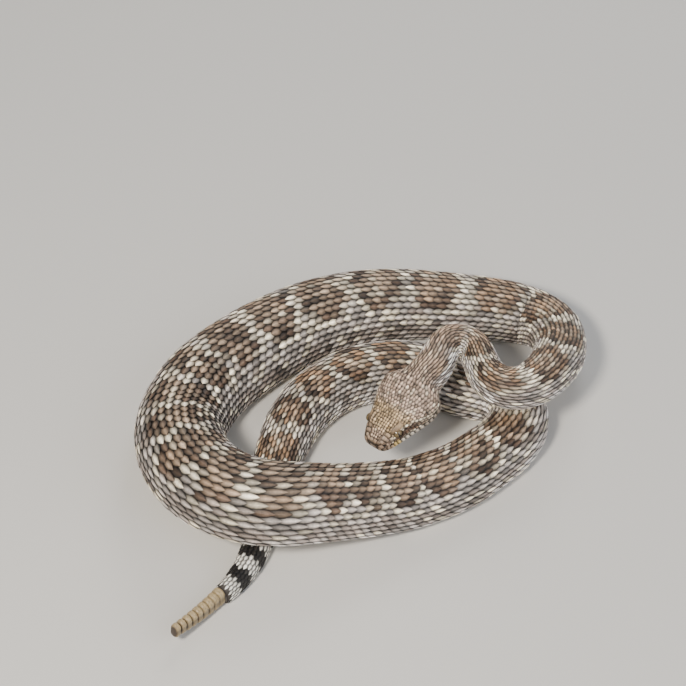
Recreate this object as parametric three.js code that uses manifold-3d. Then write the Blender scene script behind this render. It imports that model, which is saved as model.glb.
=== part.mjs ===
// A western diamondback rattlesnake, life size, resting in a loose coil with its head over the gap in the middle.
// Millimetres, +Z up. The floor that it lies on is z = 0, and the head points to the front, at -Y.
import * as THREE from 'three';
import { mergeVertices } from 'three/addons/utils/BufferGeometryUtils.js';
import Module from 'manifold-3d';

const wasm = await Module();
wasm.setup();

// The middle of the coil's box, measured from the point that the spine's places are given from
const coilCentre = [-0.757, -45.917, 0];

// The line that the belly lies along, strand by strand from the head: x, y and height over the floor
const bellyLine = {
    throat: [[28.6, -28.6, 34.6]],
    neckBend: [[37.3, -19, 39.4], [41.3, -14, 41.6], [42.6, -7.5, 42.4], [46.6, -0.4, 42], [54.4, 2.8, 41],
        [62.2, -0.4, 39.6], [66, -9, 38.2]],
    rightLoop: [[68.5, -18.5, 36.8], [75.5, -27, 35.6], [86, -28.5, 34.2], [97, -21, 30.8], [107, -5, 24],
        [114, 18, 12.5], [112, 40, 4], [101, 54, 0]],
    rearStrand: [[79, 60, 0], [52, 62, 0], [22, 62.5, 0], [-8, 58, 0], [-39, 45, 0], [-71, 21, 0]],
    leftTurn: [[-95, -6, 0], [-106, -41, 3], [-95, -77, 12], [-72, -98, 17.4]],
    frontStrand: [[-50, -102.5, 17.4], [-27, -97, 11], [0, -88.5, 4], [27, -79.5, 0], [52, -67.5, 0]],
    foldBack: [[68, -54.5, 0], [82.6, -40, 0], [89, -25, 0], [84.2, -11.4, 0], [74.8, -5, 0]],
    middleStrand: [[55, 1, 0], [38, 9.5, 0], [18, 13, 0], [-5.5, 8.5, 0], [-25, -3.5, 0], [-38.5, -20, 0]],
    rearBody: [[-47, -41, 0], [-52.5, -63, 0], [-56, -84, 0]],
    tail: [[-59, -104, 0], [-63.5, -121, 0], [-70.5, -134.5, 0], [-79, -145, 0]],
};
const napeAt = 14;
const smoothing = { spacing: 2, passes: 14 };

// The body's width and its height as a share of the width, by distance behind the nape
const widthAlong = [[0, 22], [14, 20.4], [38, 19.8], [60, 22], [100, 28], [150, 33], [200, 38], [250, 43], [300, 47],
    [350, 50.5], [400, 52.5], [460, 52], [510, 49.5], [570, 43.5], [630, 39.5], [690, 36.4], [770, 36.4],
    [830, 34.5], [880, 29], [905, 24.6], [930, 19.8], [955, 15.5], [990, 9.6]];
const heightShareAlong = [[0, 1], [35, 1], [60, 0.96], [100, 0.86], [150, 0.8], [830, 0.79], [905, 0.77],
    [930, 0.82], [955, 0.95], [990, 1.2]];

// The section is a loaf: a domed back, flanks that are fullest low down, and a flat belly
const section = { bellyShare: 0.42, flankPower: 0.92, backPower: 0.95, bellyFlat: 1.06 };
const bodySides = 24;
const ringShare = 0.17;
const shortestRing = 4.2;

// The gap between neighbouring pieces
const joint = 0.3;

// Where one length of the body ends and the next begins, behind the nape
const lengthEnds = {
    neck: 36,
    torso_1: 76,
    torso_2: 124,
    torso_3: 176,
    torso_4: 250,
    torso_5: 330,
    torso_6: 396,
    torso_7: 452,
    torso_8: 508,
    torso_9: 580,
    torso_10: 640,
    torso_11: 724,
    torso_12: 772,
    torso_13: 826,
    torso_14: 900,
};

// The head, in its own frame: x from the nape to the snout, y to the snake's left, z up
const head = {
    length: 52.6,
    sides: 32,
    steps: 28,
    width: [[0, 11.2], [5, 14], [9.5, 17.6], [15, 19.2], [21, 18.8], [28.5, 16.3], [35, 13.8], [41, 11.9], [46.5, 9.8],
        [50.6, 7.6], [52.6, 5.1]],
    top: [[0, 11.2], [10, 11.2], [19, 11], [31, 10.3], [40.4, 9.2], [47, 6.9], [51.2, 4.7], [52.6, 2.7]],
    bottom: [[0, -10.8], [9.5, -10.4], [19, -10], [31, -8.8], [40.5, -7.2], [48, -5.6], [51.3, -4.4], [52.6, -3]],
    widest: [[0, 0], [11.3, -1.6], [22.6, -2.2], [41.4, -1.8], [52.6, -0.6]],
    sidePower: 0.8,
    topPower: 0.82,
    underPower: 0.72,
    collar: 14,
    snoutRoundFrom: 0.9,
    crownHollow: { at: 15, length: 9, width: 4, depth: 0.9 },
};
const mouth = {
    corner: 14,
    line: [[14, -2.4], [20.7, -3.7], [28.2, -4.1], [35.8, -3.4], [43.3, -2.2], [52.6, -1.4]],
    slant: 3.5,
    reach: 30,
    lipBulge: 0.55,
    lipHeight: 1.6,
    lipNarrowest: 6,
    chinNarrowing: 0.955,
};
const eye = { at: [40.2, 8.9, 4.8], radius: 3.2, sides: 16 };
const brow = { at: [39.9, 8.3, 8.1], half: [5.8, 3.2, 1.8], tilt: 0.12, turn: -0.2, sides: 18 };
const nostril = { at: [50, 6.7, 2.2], half: [1.1, 1.3, 0.9], sides: 10 };
const heatPit = { at: [46.7, 9.2, 0.3], half: [1.2, 1.5, 1.1], sides: 10 };

// The rattle: loose horny rings, each a flattened bulge with a groove along both sides, ending in the button
const rattle = {
    rings: 9,
    pitch: 4.3,
    width: 8.4,
    height: 12.6,
    lift: 0.8,
    endShare: 0.72,
    waistShare: 0.7,
    bulgePower: 0.6,
    widthPower: 0.85,
    heightPower: 0.9,
    sideGroove: 0.14,
    grooveSharpness: 12,
    rise: 0.16,
    stepsPerRing: 4,
    sides: 16,
};

const finishes = {
    back: { color: 0x8a7663, roughness: 0.72 },
    backDark: { color: 0x6f5a49, roughness: 0.72 },
    head: { color: 0x94806b, roughness: 0.68 },
    jaw: { color: 0xb7a994, roughness: 0.66 },
    eye: { color: 0x3a2f22, roughness: 0.12 },
    tail: { color: 0xc9c6bd, roughness: 0.7 },
    rattle: { color: 0xa8936c, roughness: 0.45 },
};

// A smooth value through a list of [distance, value], which never swings past its neighbours
function along(stations, at) {
    const last = stations.length - 1;
    if (at <= stations[0][0]) return stations[0][1];
    if (at >= stations[last][0]) return stations[last][1];
    const slopeOf = (i) => (stations[i + 1][1] - stations[i][1]) / (stations[i + 1][0] - stations[i][0]);
    const tangent = (i) => {
        if (i === 0) return slopeOf(0);
        if (i === last) return slopeOf(last - 1);
        const before = slopeOf(i - 1);
        const after = slopeOf(i);
        if (before * after <= 0) return 0;
        const spanBefore = stations[i][0] - stations[i - 1][0];
        const spanAfter = stations[i + 1][0] - stations[i][0];
        const weightBefore = 2 * spanAfter + spanBefore;
        const weightAfter = spanAfter + 2 * spanBefore;
        return (weightBefore + weightAfter) / (weightBefore / before + weightAfter / after);
    };
    let i = 0;
    while (stations[i + 1][0] < at) i += 1;
    const span = stations[i + 1][0] - stations[i][0];
    const t = (at - stations[i][0]) / span;
    return (1 + 2 * t) * (1 - t) ** 2 * stations[i][1]
        + t * (1 - t) ** 2 * span * tangent(i)
        + t * t * (3 - 2 * t) * stations[i + 1][1]
        + t * t * (t - 1) * span * tangent(i + 1);
}

function power(value, exponent) {
    return Math.sign(value) * Math.abs(value) ** exponent;
}

// The belly's line as evenly spaced points, rounded off so that no bend is tighter than the body allows
function spinePoints() {
    const places = Object.values(bellyLine).flat().map(([x, y, z]) => new THREE.Vector3(x, y, z));
    const curve = new THREE.CatmullRomCurve3(places, false, 'centripetal');
    curve.arcLengthDivisions = 2000;
    const count = Math.round(curve.getLength() / smoothing.spacing);
    let points = curve.getSpacedPoints(count);
    for (let pass = 0; pass < smoothing.passes; pass += 1) {
        points = points.map((point, i) => {
            if (i === 0 || i === points.length - 1) return point;
            return point.clone().multiplyScalar(2).add(points[i - 1]).add(points[i + 1]).divideScalar(4);
        });
    }
    for (const point of points) point.z = Math.max(point.z, 0);
    return points;
}

const spine = spinePoints();
const spineDistances = [0];
for (let i = 1; i < spine.length; i += 1) {
    spineDistances.push(spineDistances[i - 1] + spine[i].distanceTo(spine[i - 1]));
}
const bodyLength = spineDistances.at(-1) - napeAt;

function spineAt(distance) {
    let i = 1;
    while (i < spine.length - 1 && spineDistances[i] < distance) i += 1;
    const share = (distance - spineDistances[i - 1]) / (spineDistances[i] - spineDistances[i - 1]);
    return spine[i - 1].clone().lerp(spine[i], share);
}

// Place, direction towards the tail, side and up of the body at a distance behind the nape
function frameAt(behindNape) {
    const distance = behindNape + napeAt;
    const reach = 0.75 * smoothing.spacing;
    const belly = spineAt(distance);
    const back = spineAt(distance + reach).sub(spineAt(distance - reach)).normalize();
    const side = back.clone().cross(new THREE.Vector3(0, 0, 1)).normalize();
    const up = side.clone().cross(back);
    const width = along(widthAlong, behindNape);
    return { belly, back, side, up, width, height: width * along(heightShareAlong, behindNape) };
}

// A point of the loaf section, from the middle of the belly: sideways and up
function sectionPoint(angle, width, height) {
    const across = Math.cos(angle);
    const upward = Math.sin(angle);
    const sideways = power(across, section.flankPower) * width / 2;
    const belly = section.bellyShare * height;
    if (upward > 0) return [sideways, belly + (height - belly) * upward ** section.backPower];
    return [sideways, belly - belly * Math.min(1, section.bellyFlat * Math.sqrt(-upward))];
}

// A closed tube whose rings are placed by a function of the share along it and the angle round it
function loft(steps, sides, placeOf) {
    const geometry = new THREE.CylinderGeometry(1, 1, 1, sides, steps);
    const position = geometry.getAttribute('position');
    for (let i = 0; i < position.count; i += 1) {
        const share = position.getY(i) + 0.5;
        const radius = Math.hypot(position.getX(i), position.getZ(i));
        const angle = Math.atan2(position.getZ(i), position.getX(i));
        const point = placeOf(share, angle, radius);
        position.setXYZ(i, point.x, point.y, point.z);
    }
    return geometry;
}

// Joining and cutting

function toSolid(geometry) {
    const bare = geometry.clone();
    bare.deleteAttribute('normal');
    bare.deleteAttribute('uv');
    const merged = mergeVertices(bare, 1e-5);
    const vertProperties = new Float32Array(merged.getAttribute('position').array);
    const triVerts = new Uint32Array(merged.getIndex().array);
    return new wasm.Manifold(new wasm.Mesh({ numProp: 3, vertProperties, triVerts }));
}

function largest(solid) {
    return solid.decompose().reduce((best, piece) => (piece.volume() > best.volume() ? piece : best));
}

function toGeometry(solid) {
    const mesh = largest(solid).getMesh();
    const geometry = new THREE.BufferGeometry();
    geometry.setAttribute('position', new THREE.BufferAttribute(new Float32Array(mesh.vertProperties), 3));
    geometry.setIndex(new THREE.BufferAttribute(new Uint32Array(mesh.triVerts), 1));
    geometry.computeVertexNormals();
    return geometry;
}

// The same ellipsoid on the snake's left and right
function bothSides({ at, half, sides, tilt = 0, turn = 0 }) {
    return [1, -1].map((side) => {
        const geometry = new THREE.SphereGeometry(1, sides, sides / 2 + 1);
        geometry.scale(...half);
        geometry.rotateX(-side * tilt);
        geometry.rotateZ(side * turn);
        geometry.translate(at[0], side * at[1], at[2]);
        return toSolid(geometry);
    });
}

function named(name, geometry, finish) {
    const mesh = new THREE.Mesh(geometry, new THREE.MeshStandardMaterial({ metalness: 0, ...finish }));
    mesh.name = name;
    return mesh;
}

// The body

function bodyLengthGeometry(from, to) {
    const middle = frameAt((from + to) / 2);
    const steps = Math.ceil((to - from) / Math.max(shortestRing, ringShare * middle.width));
    return loft(steps, bodySides, (share, angle, radius) => {
        const frame = frameAt(from + (to - from) * share);
        const [sideways, upward] = sectionPoint(angle, frame.width, frame.height);
        const middleUp = frame.height / 2;
        return frame.belly.clone()
            .addScaledVector(frame.side, sideways * radius)
            .addScaledVector(frame.up, middleUp + (upward - middleUp) * radius);
    });
}

function bodyLengths() {
    const meshes = [];
    let from = 0;
    for (const [name, end] of Object.entries(lengthEnds)) {
        const start = meshes.length === 0 ? 0 : from + joint;
        const finish = meshes.length % 2 ? finishes.backDark : finishes.back;
        meshes.push(named(name, bodyLengthGeometry(start, end), finish));
        from = end;
    }
    meshes.push(named('tail', bodyLengthGeometry(from + joint, bodyLength), finishes.tail));
    return meshes;
}

// The rattle stands on edge behind the tail and rises a little off the floor

function rattleGeometry() {
    const root = frameAt(bodyLength);
    const length = rattle.rings * rattle.pitch;
    const start = root.belly.clone()
        .addScaledVector(root.up, root.height / 2 + rattle.lift)
        .addScaledVector(root.back, joint);
    const lift = Math.tan(rattle.rise);
    return loft(rattle.rings * rattle.stepsPerRing, rattle.sides, (share, angle, radius) => {
        const inRing = (share * rattle.rings) % 1;
        const swell = Math.sin(Math.PI * inRing) ** rattle.bulgePower;
        const bulge = THREE.MathUtils.lerp(rattle.waistShare, 1, swell);
        const size = bulge * THREE.MathUtils.lerp(1, rattle.endShare, share);
        const groove = 1 - rattle.sideGroove * Math.abs(Math.cos(angle)) ** rattle.grooveSharpness;
        const sideways = power(Math.cos(angle), rattle.widthPower) * rattle.width / 2 * size * groove;
        const upward = power(Math.sin(angle), rattle.heightPower) * rattle.height / 2 * size;
        const distance = share * length;
        return start.clone()
            .addScaledVector(root.back, distance)
            .addScaledVector(root.side, sideways * radius)
            .addScaledVector(root.up, upward * radius + lift * distance * share);
    });
}

// The head and the lower jaw

function headPoint(share, angle, radius, narrowing) {
    const x = head.length * share;
    const across = Math.cos(angle);
    const upward = Math.sin(angle);
    const half = along(head.width, x) * narrowing;
    const top = along(head.top, x);
    const bottom = along(head.bottom, x);
    const level = along(head.widest, x);
    let y = -power(across, head.sidePower) * half;
    let z = upward > 0
        ? level + (top - level) * upward ** head.topPower
        : level - (level - bottom) * (-upward) ** head.underPower;
    const aboveLip = (z - along(mouth.line, x)) / mouth.lipHeight;
    y *= 1 + mouth.lipBulge / Math.max(half, mouth.lipNarrowest) * Math.exp(-aboveLip * aboveLip);
    const hollow = head.crownHollow;
    const hollowAlong = Math.exp(-(((x - hollow.at) / hollow.length) ** 2));
    if (upward > 0) z -= hollow.depth * hollowAlong * Math.exp(-((y / hollow.width) ** 2));
    const nape = frameAt(0);
    const [neckSideways, neckUp] = sectionPoint(angle, nape.width, nape.height);
    const t = Math.min(1, x / head.collar);
    const blend = t * t * (3 - 2 * t);
    y = THREE.MathUtils.lerp(-neckSideways, y, blend);
    z = THREE.MathUtils.lerp(neckUp - nape.height / 2, z, blend);
    return new THREE.Vector3(x, y * radius, z * radius);
}

// The head's rings stand closer together where the snout rounds off
function headLoft(narrowing) {
    const from = head.snoutRoundFrom;
    return toSolid(loft(head.steps, head.sides, (share, angle, radius) => {
        const inSnout = Math.max(0, share - from) / (1 - from);
        const eased = share < from ? share : from + (1 - from) * Math.sin(inSnout * Math.PI / 2);
        return headPoint(eased, angle, radius, narrowing);
    }));
}

// Everything under the line of the mouth, from its corner to past the snout
function underMouth(gap) {
    const outline = new THREE.Shape();
    const steps = 14;
    outline.moveTo(mouth.corner - gap, along(mouth.line, mouth.corner) + gap);
    for (let i = 1; i <= steps; i += 1) {
        const x = THREE.MathUtils.lerp(mouth.corner, head.length, i / steps);
        outline.lineTo(x, along(mouth.line, x) + gap);
    }
    outline.lineTo(head.length + mouth.reach, along(mouth.line, head.length) + gap);
    outline.lineTo(head.length + mouth.reach, -mouth.reach);
    outline.lineTo(mouth.corner - mouth.slant - gap, -mouth.reach);
    const geometry = new THREE.ExtrudeGeometry(outline, { depth: 2 * mouth.reach, bevelEnabled: false });
    geometry.translate(0, 0, -mouth.reach);
    geometry.rotateX(Math.PI / 2);
    return toSolid(geometry);
}

function headMeshes() {
    let skull = headLoft(1).subtract(underMouth(joint));
    for (const plate of bothSides(brow)) skull = skull.add(plate);
    const socket = eye.radius + joint;
    const cuts = [
        ...bothSides({ ...eye, half: [socket, socket, socket] }),
        ...bothSides(nostril),
        ...bothSides(heatPit),
    ];
    for (const cut of cuts) skull = skull.subtract(cut);
    const jaw = headLoft(mouth.chinNarrowing).intersect(underMouth(0));
    const [leftEye, rightEye] = bothSides({ ...eye, half: [eye.radius, eye.radius, eye.radius] });
    return [
        named('head', toGeometry(skull), finishes.head),
        named('lower_jaw', toGeometry(jaw), finishes.jaw),
        named('eye_left', toGeometry(leftEye), finishes.eye),
        named('eye_right', toGeometry(rightEye), finishes.eye),
    ];
}

function headGroup() {
    const nape = frameAt(0);
    const forward = nape.back.clone().negate();
    const group = new THREE.Group();
    group.setRotationFromMatrix(new THREE.Matrix4().makeBasis(forward, nape.side, nape.up));
    group.position.copy(nape.belly)
        .addScaledVector(nape.up, nape.height / 2)
        .addScaledVector(forward, joint);
    group.add(...headMeshes());
    return group;
}

const snake = new THREE.Group();
const coil = new THREE.Group();
coil.position.set(-coilCentre[0], -coilCentre[1], -coilCentre[2]);
coil.add(headGroup(), ...bodyLengths(), named('rattle', rattleGeometry(), finishes.rattle));
snake.add(coil);

export default snake;
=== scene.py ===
import math

import bmesh
import bpy
import numpy as np
from bpy.props import FloatProperty, FloatVectorProperty, IntProperty, PointerProperty
from mathutils import Matrix, Vector


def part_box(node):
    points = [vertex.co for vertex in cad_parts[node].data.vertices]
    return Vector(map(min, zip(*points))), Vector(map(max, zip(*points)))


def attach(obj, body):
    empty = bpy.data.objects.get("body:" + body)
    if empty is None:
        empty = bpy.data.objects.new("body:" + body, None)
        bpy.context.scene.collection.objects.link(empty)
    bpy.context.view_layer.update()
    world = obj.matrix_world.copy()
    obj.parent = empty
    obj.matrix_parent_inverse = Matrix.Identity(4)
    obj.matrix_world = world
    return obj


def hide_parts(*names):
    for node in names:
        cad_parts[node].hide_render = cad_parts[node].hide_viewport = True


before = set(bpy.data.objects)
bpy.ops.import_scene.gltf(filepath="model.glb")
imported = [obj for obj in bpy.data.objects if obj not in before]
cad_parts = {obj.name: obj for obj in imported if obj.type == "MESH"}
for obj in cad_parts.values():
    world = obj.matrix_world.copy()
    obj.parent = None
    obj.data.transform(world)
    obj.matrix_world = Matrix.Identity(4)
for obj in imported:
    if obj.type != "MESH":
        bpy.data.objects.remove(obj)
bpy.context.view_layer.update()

bl_info = {
    "name": "Western diamondback rattlesnake",
    "version": (1, 0, 0),
    "blender": (4, 5, 0),
    "location": "3D View > Sidebar > Rattlesnake",
    "description": "A life-size rattlesnake at rest, with every scale as a mesh",
    "category": "Object",
}

MM = 0.001
SEED = 7

# The snake's line and sizes in millimetres, as in the solids. The places are measured from the point that
# the coil's centre is given from.
COIL_CENTRE = np.array([-0.757, -45.917, 0.0])
BELLY_LINE = {
    "throat": [(28.6, -28.6, 34.6)],
    "neck_bend": [(37.3, -19, 39.4), (41.3, -14, 41.6), (42.6, -7.5, 42.4), (46.6, -0.4, 42), (54.4, 2.8, 41),
                  (62.2, -0.4, 39.6), (66, -9, 38.2)],
    "right_loop": [(68.5, -18.5, 36.8), (75.5, -27, 35.6), (86, -28.5, 34.2), (97, -21, 30.8), (107, -5, 24),
                   (114, 18, 12.5), (112, 40, 4), (101, 54, 0)],
    "rear_strand": [(79, 60, 0), (52, 62, 0), (22, 62.5, 0), (-8, 58, 0), (-39, 45, 0), (-71, 21, 0)],
    "left_turn": [(-95, -6, 0), (-106, -41, 3), (-95, -77, 12), (-72, -98, 17.4)],
    "front_strand": [(-50, -102.5, 17.4), (-27, -97, 11), (0, -88.5, 4), (27, -79.5, 0), (52, -67.5, 0)],
    "fold_back": [(68, -54.5, 0), (82.6, -40, 0), (89, -25, 0), (84.2, -11.4, 0), (74.8, -5, 0)],
    "middle_strand": [(55, 1, 0), (38, 9.5, 0), (18, 13, 0), (-5.5, 8.5, 0), (-25, -3.5, 0), (-38.5, -20, 0)],
    "rear_body": [(-47, -41, 0), (-52.5, -63, 0), (-56, -84, 0)],
    "tail": [(-59, -104, 0), (-63.5, -121, 0), (-70.5, -134.5, 0), (-79, -145, 0)],
}
NAPE_AT = 14
LINE_SPACING = 2
LINE_PASSES = 14
WIDTH_ALONG = [(0, 22), (14, 20.4), (38, 19.8), (60, 22), (100, 28), (150, 33), (200, 38), (250, 43),
               (300, 47), (350, 50.5), (400, 52.5), (460, 52), (510, 49.5), (570, 43.5), (630, 39.5),
               (690, 36.4), (770, 36.4), (830, 34.5), (880, 29), (905, 24.6), (930, 19.8), (955, 15.5),
               (990, 9.6)]
HEIGHT_SHARE_ALONG = [(0, 1), (35, 1), (60, 0.96), (100, 0.86), (150, 0.8), (830, 0.79), (905, 0.77),
                      (930, 0.82), (955, 0.95), (990, 1.2)]
BELLY_SHARE, FLANK_POWER, BACK_POWER, BELLY_FLAT = 0.42, 0.92, 0.95, 1.06
JOINT = 0.3

# The head in its own frame: x from the nape to the snout, y to the snake's left, z up
HEAD_LENGTH = 52.6
SNOUT_CAP = 4
HEAD_WIDTH = [(0, 11.2), (5, 14), (9.5, 17.6), (15, 19.2), (21, 18.8), (28.5, 16.3), (35, 13.8), (41, 11.9),
              (46.5, 9.8), (50.6, 7.6), (52.6, 5.1)]
HEAD_TOP = [(0, 11.2), (10, 11.2), (19, 11), (31, 10.3), (40.4, 9.2), (47, 6.9), (51.2, 4.7), (52.6, 2.7)]
HEAD_BOTTOM = [(0, -10.8), (9.5, -10.4), (19, -10), (31, -8.8), (40.5, -7.2), (48, -5.6), (51.3, -4.4),
               (52.6, -3)]
HEAD_WIDEST = [(0, 0), (11.3, -1.6), (22.6, -2.2), (41.4, -1.8), (52.6, -0.6)]
SIDE_POWER, TOP_POWER, UNDER_POWER, COLLAR = 0.8, 0.82, 0.72, 14
CROWN_HOLLOW = {"at": 15, "length": 9, "width": 4, "depth": 0.9}
MOUTH_CORNER = 14
MOUTH_LINE = [(14, -2.4), (20.7, -3.7), (28.2, -4.1), (35.8, -3.4), (43.3, -2.2), (52.6, -1.4)]
LIP_BULGE, LIP_HEIGHT, LIP_NARROWEST, CHIN_NARROWING = 0.55, 1.6, 6, 0.955
BROW = {"at": (39.9, 8.3, 8.1), "half": (5.8, 3.2, 1.8), "tilt": 0.12, "turn": -0.2}
NOSTRIL = {"at": (50, 6.7, 2.2), "half": (1.1, 1.3, 0.9)}
HEAT_PIT = {"at": (46.7, 9.2, 0.3), "half": (1.2, 1.5, 1.1)}
EYE_AT = np.array([40.2, 8.9, 4.8])
EYE_OPENING = 2.65

VENT_AT = 905
TAIL_END = 981
BELLY_EDGE = 0.8
TAIL_RING = 15.5
BODY_DEPTH = (0.8, 0.014)
HEAD_DEPTH = 0.55


def linear(code, alpha=1.0):
    """An sRGB hex colour as linear values"""
    parts = [int(code[i:i + 2], 16) / 255 for i in (1, 3, 5)]
    return tuple(c / 12.92 if c <= 0.04045 else ((c + 0.055) / 1.055) ** 2.4 for c in parts) + (alpha,)


def along(stations, at):
    """A smooth value through a list of (distance, value), which never swings past its neighbours"""
    x, y = np.asarray(stations, float).T
    span = np.diff(x)
    slope = np.diff(y) / span
    tangent = np.concatenate([slope[:1], np.zeros(len(x) - 2), slope[-1:]])
    for i in range(1, len(x) - 1):
        if slope[i - 1] * slope[i] > 0:
            before, after = 2 * span[i] + span[i - 1], span[i] + 2 * span[i - 1]
            tangent[i] = (before + after) / (before / slope[i - 1] + after / slope[i])
    at = np.clip(at, x[0], x[-1])
    i = np.clip(np.searchsorted(x, at, side="right") - 1, 0, len(x) - 2)
    t = (at - x[i]) / span[i]
    return ((1 + 2 * t) * (1 - t) ** 2 * y[i] + t * (1 - t) ** 2 * span[i] * tangent[i]
            + t * t * (3 - 2 * t) * y[i + 1] + t * t * (t - 1) * span[i] * tangent[i + 1])


def smooth(low, high, value):
    """0 below low, 1 above high and a soft step between them; low may be above high"""
    t = np.clip((value - low) / (high - low), 0, 1)
    return t * t * (3 - 2 * t)


def unit(vectors):
    """The vectors at length 1"""
    return vectors / np.maximum(np.linalg.norm(vectors, axis=-1, keepdims=True), 1e-9)


def belly_points():
    """The belly's line, rounded off as in the solids: points LINE_SPACING apart and the distance to each"""
    places = np.array([p for strand in BELLY_LINE.values() for p in strand], float)
    padded = np.vstack([2 * places[0] - places[1], places, 2 * places[-1] - places[-2]])
    curve = []
    for p0, p1, p2, p3 in zip(padded, padded[1:], padded[2:], padded[3:]):
        d0, d1, d2 = (np.linalg.norm(b - a) ** 0.5 for a, b in ((p0, p1), (p1, p2), (p2, p3)))
        t1 = ((p1 - p0) / d0 - (p2 - p0) / (d0 + d1) + (p2 - p1) / d1) * d1
        t2 = ((p2 - p1) / d1 - (p3 - p1) / (d1 + d2) + (p3 - p2) / d2) * d1
        t = np.linspace(0, 1, 40, endpoint=False)[:, None]
        ends = p1 + t1 * t + (3 * p2 - 3 * p1 - 2 * t1 - t2) * t ** 2
        curve.append(ends + (2 * p1 - 2 * p2 + t1 + t2) * t ** 3)
    curve = np.vstack([*curve, places[-1]])
    run = np.r_[0, np.cumsum(np.linalg.norm(np.diff(curve, axis=0), axis=1))]
    count = round(run[-1] / LINE_SPACING)
    places = np.linspace(0, run[-1], count + 1)
    points = np.stack([np.interp(places, run, curve[:, k]) for k in range(3)], 1)
    for _ in range(LINE_PASSES):
        points[1:-1] = (points[:-2] + 2 * points[1:-1] + points[2:]) / 4
    points[:, 2] = np.maximum(points[:, 2], 0)
    points -= COIL_CENTRE
    return points, np.r_[0, np.cumsum(np.linalg.norm(np.diff(points, axis=0), axis=1))]


def body_half_section(angle, width, height):
    """One side of the loaf section, sideways and up from the middle of the belly"""
    across, upward = np.cos(angle), np.sin(angle)
    sideways = np.abs(across) ** FLANK_POWER * width / 2
    belly = BELLY_SHARE * height
    dome = belly + (height - belly) * np.maximum(upward, 0) ** BACK_POWER
    under = belly - belly * np.minimum(1, BELLY_FLAT * np.sqrt(np.maximum(-upward, 0)))
    return sideways, np.where(upward > 0, dome, under)


def head_half_section(x, angle):
    """One side of the head at x, sideways and up from its axis"""
    across, upward = np.cos(angle), np.sin(angle)
    tables = HEAD_WIDTH, HEAD_TOP, HEAD_BOTTOM, HEAD_WIDEST, MOUTH_LINE
    half, top, bottom, level, line = (float(along(table, x)) for table in tables)
    y = np.abs(across) ** SIDE_POWER * half
    z = np.where(upward > 0, level + (top - level) * np.maximum(upward, 0) ** TOP_POWER,
                 level - (level - bottom) * np.maximum(-upward, 0) ** UNDER_POWER)
    y = y * (1 + LIP_BULGE / max(half, LIP_NARROWEST) * np.exp(-((z - line) / LIP_HEIGHT) ** 2))
    narrowing = smooth(MOUTH_CORNER, MOUTH_CORNER + 5, x) * smooth(line + 0.1, line - 0.3, z)
    y = y * (1 + (CHIN_NARROWING - 1) * narrowing)
    hollow = math.exp(-((x - CROWN_HOLLOW["at"]) / CROWN_HOLLOW["length"]) ** 2) * CROWN_HOLLOW["depth"]
    z = z - np.where(upward > 0, hollow * np.exp(-(y / CROWN_HOLLOW["width"]) ** 2), 0)
    width = WIDTH_ALONG[0][1]
    neck_y, neck_z = body_half_section(angle, width, width)
    blend = smooth(0, COLLAR, x)
    return neck_y + (y - neck_y) * blend, (neck_z - width / 2) * (1 - blend) + z * blend


def ellipsoid_matrix(form, side):
    """Turns a place in the head's frame into one where the form is a ball of radius 1"""
    place = Matrix.Translation((form["at"][0], side * form["at"][1], form["at"][2]))
    place @= Matrix.Rotation(side * form.get("turn", 0), 4, "Z")
    place @= Matrix.Rotation(-side * form.get("tilt", 0), 4, "X")
    place @= Matrix.Diagonal((*form["half"], 1))
    return np.array(place.inverted())


def push(points, normals, form, side, outward):
    """How far along its normal each point that lies inside the form moves to reach the form's surface"""
    matrix = ellipsoid_matrix(form, side)
    u = points @ matrix[:3, :3].T + matrix[:3, 3]
    w = normals @ matrix[:3, :3].T
    a, b, c = (w * w).sum(-1), (u * w).sum(-1), (u * u).sum(-1) - 1
    root = np.sqrt(np.maximum(b * b - a * c, 0))
    return np.where(c < 0, (-b + root if outward else -b - root) / np.maximum(a, 1e-9), 0)


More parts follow.
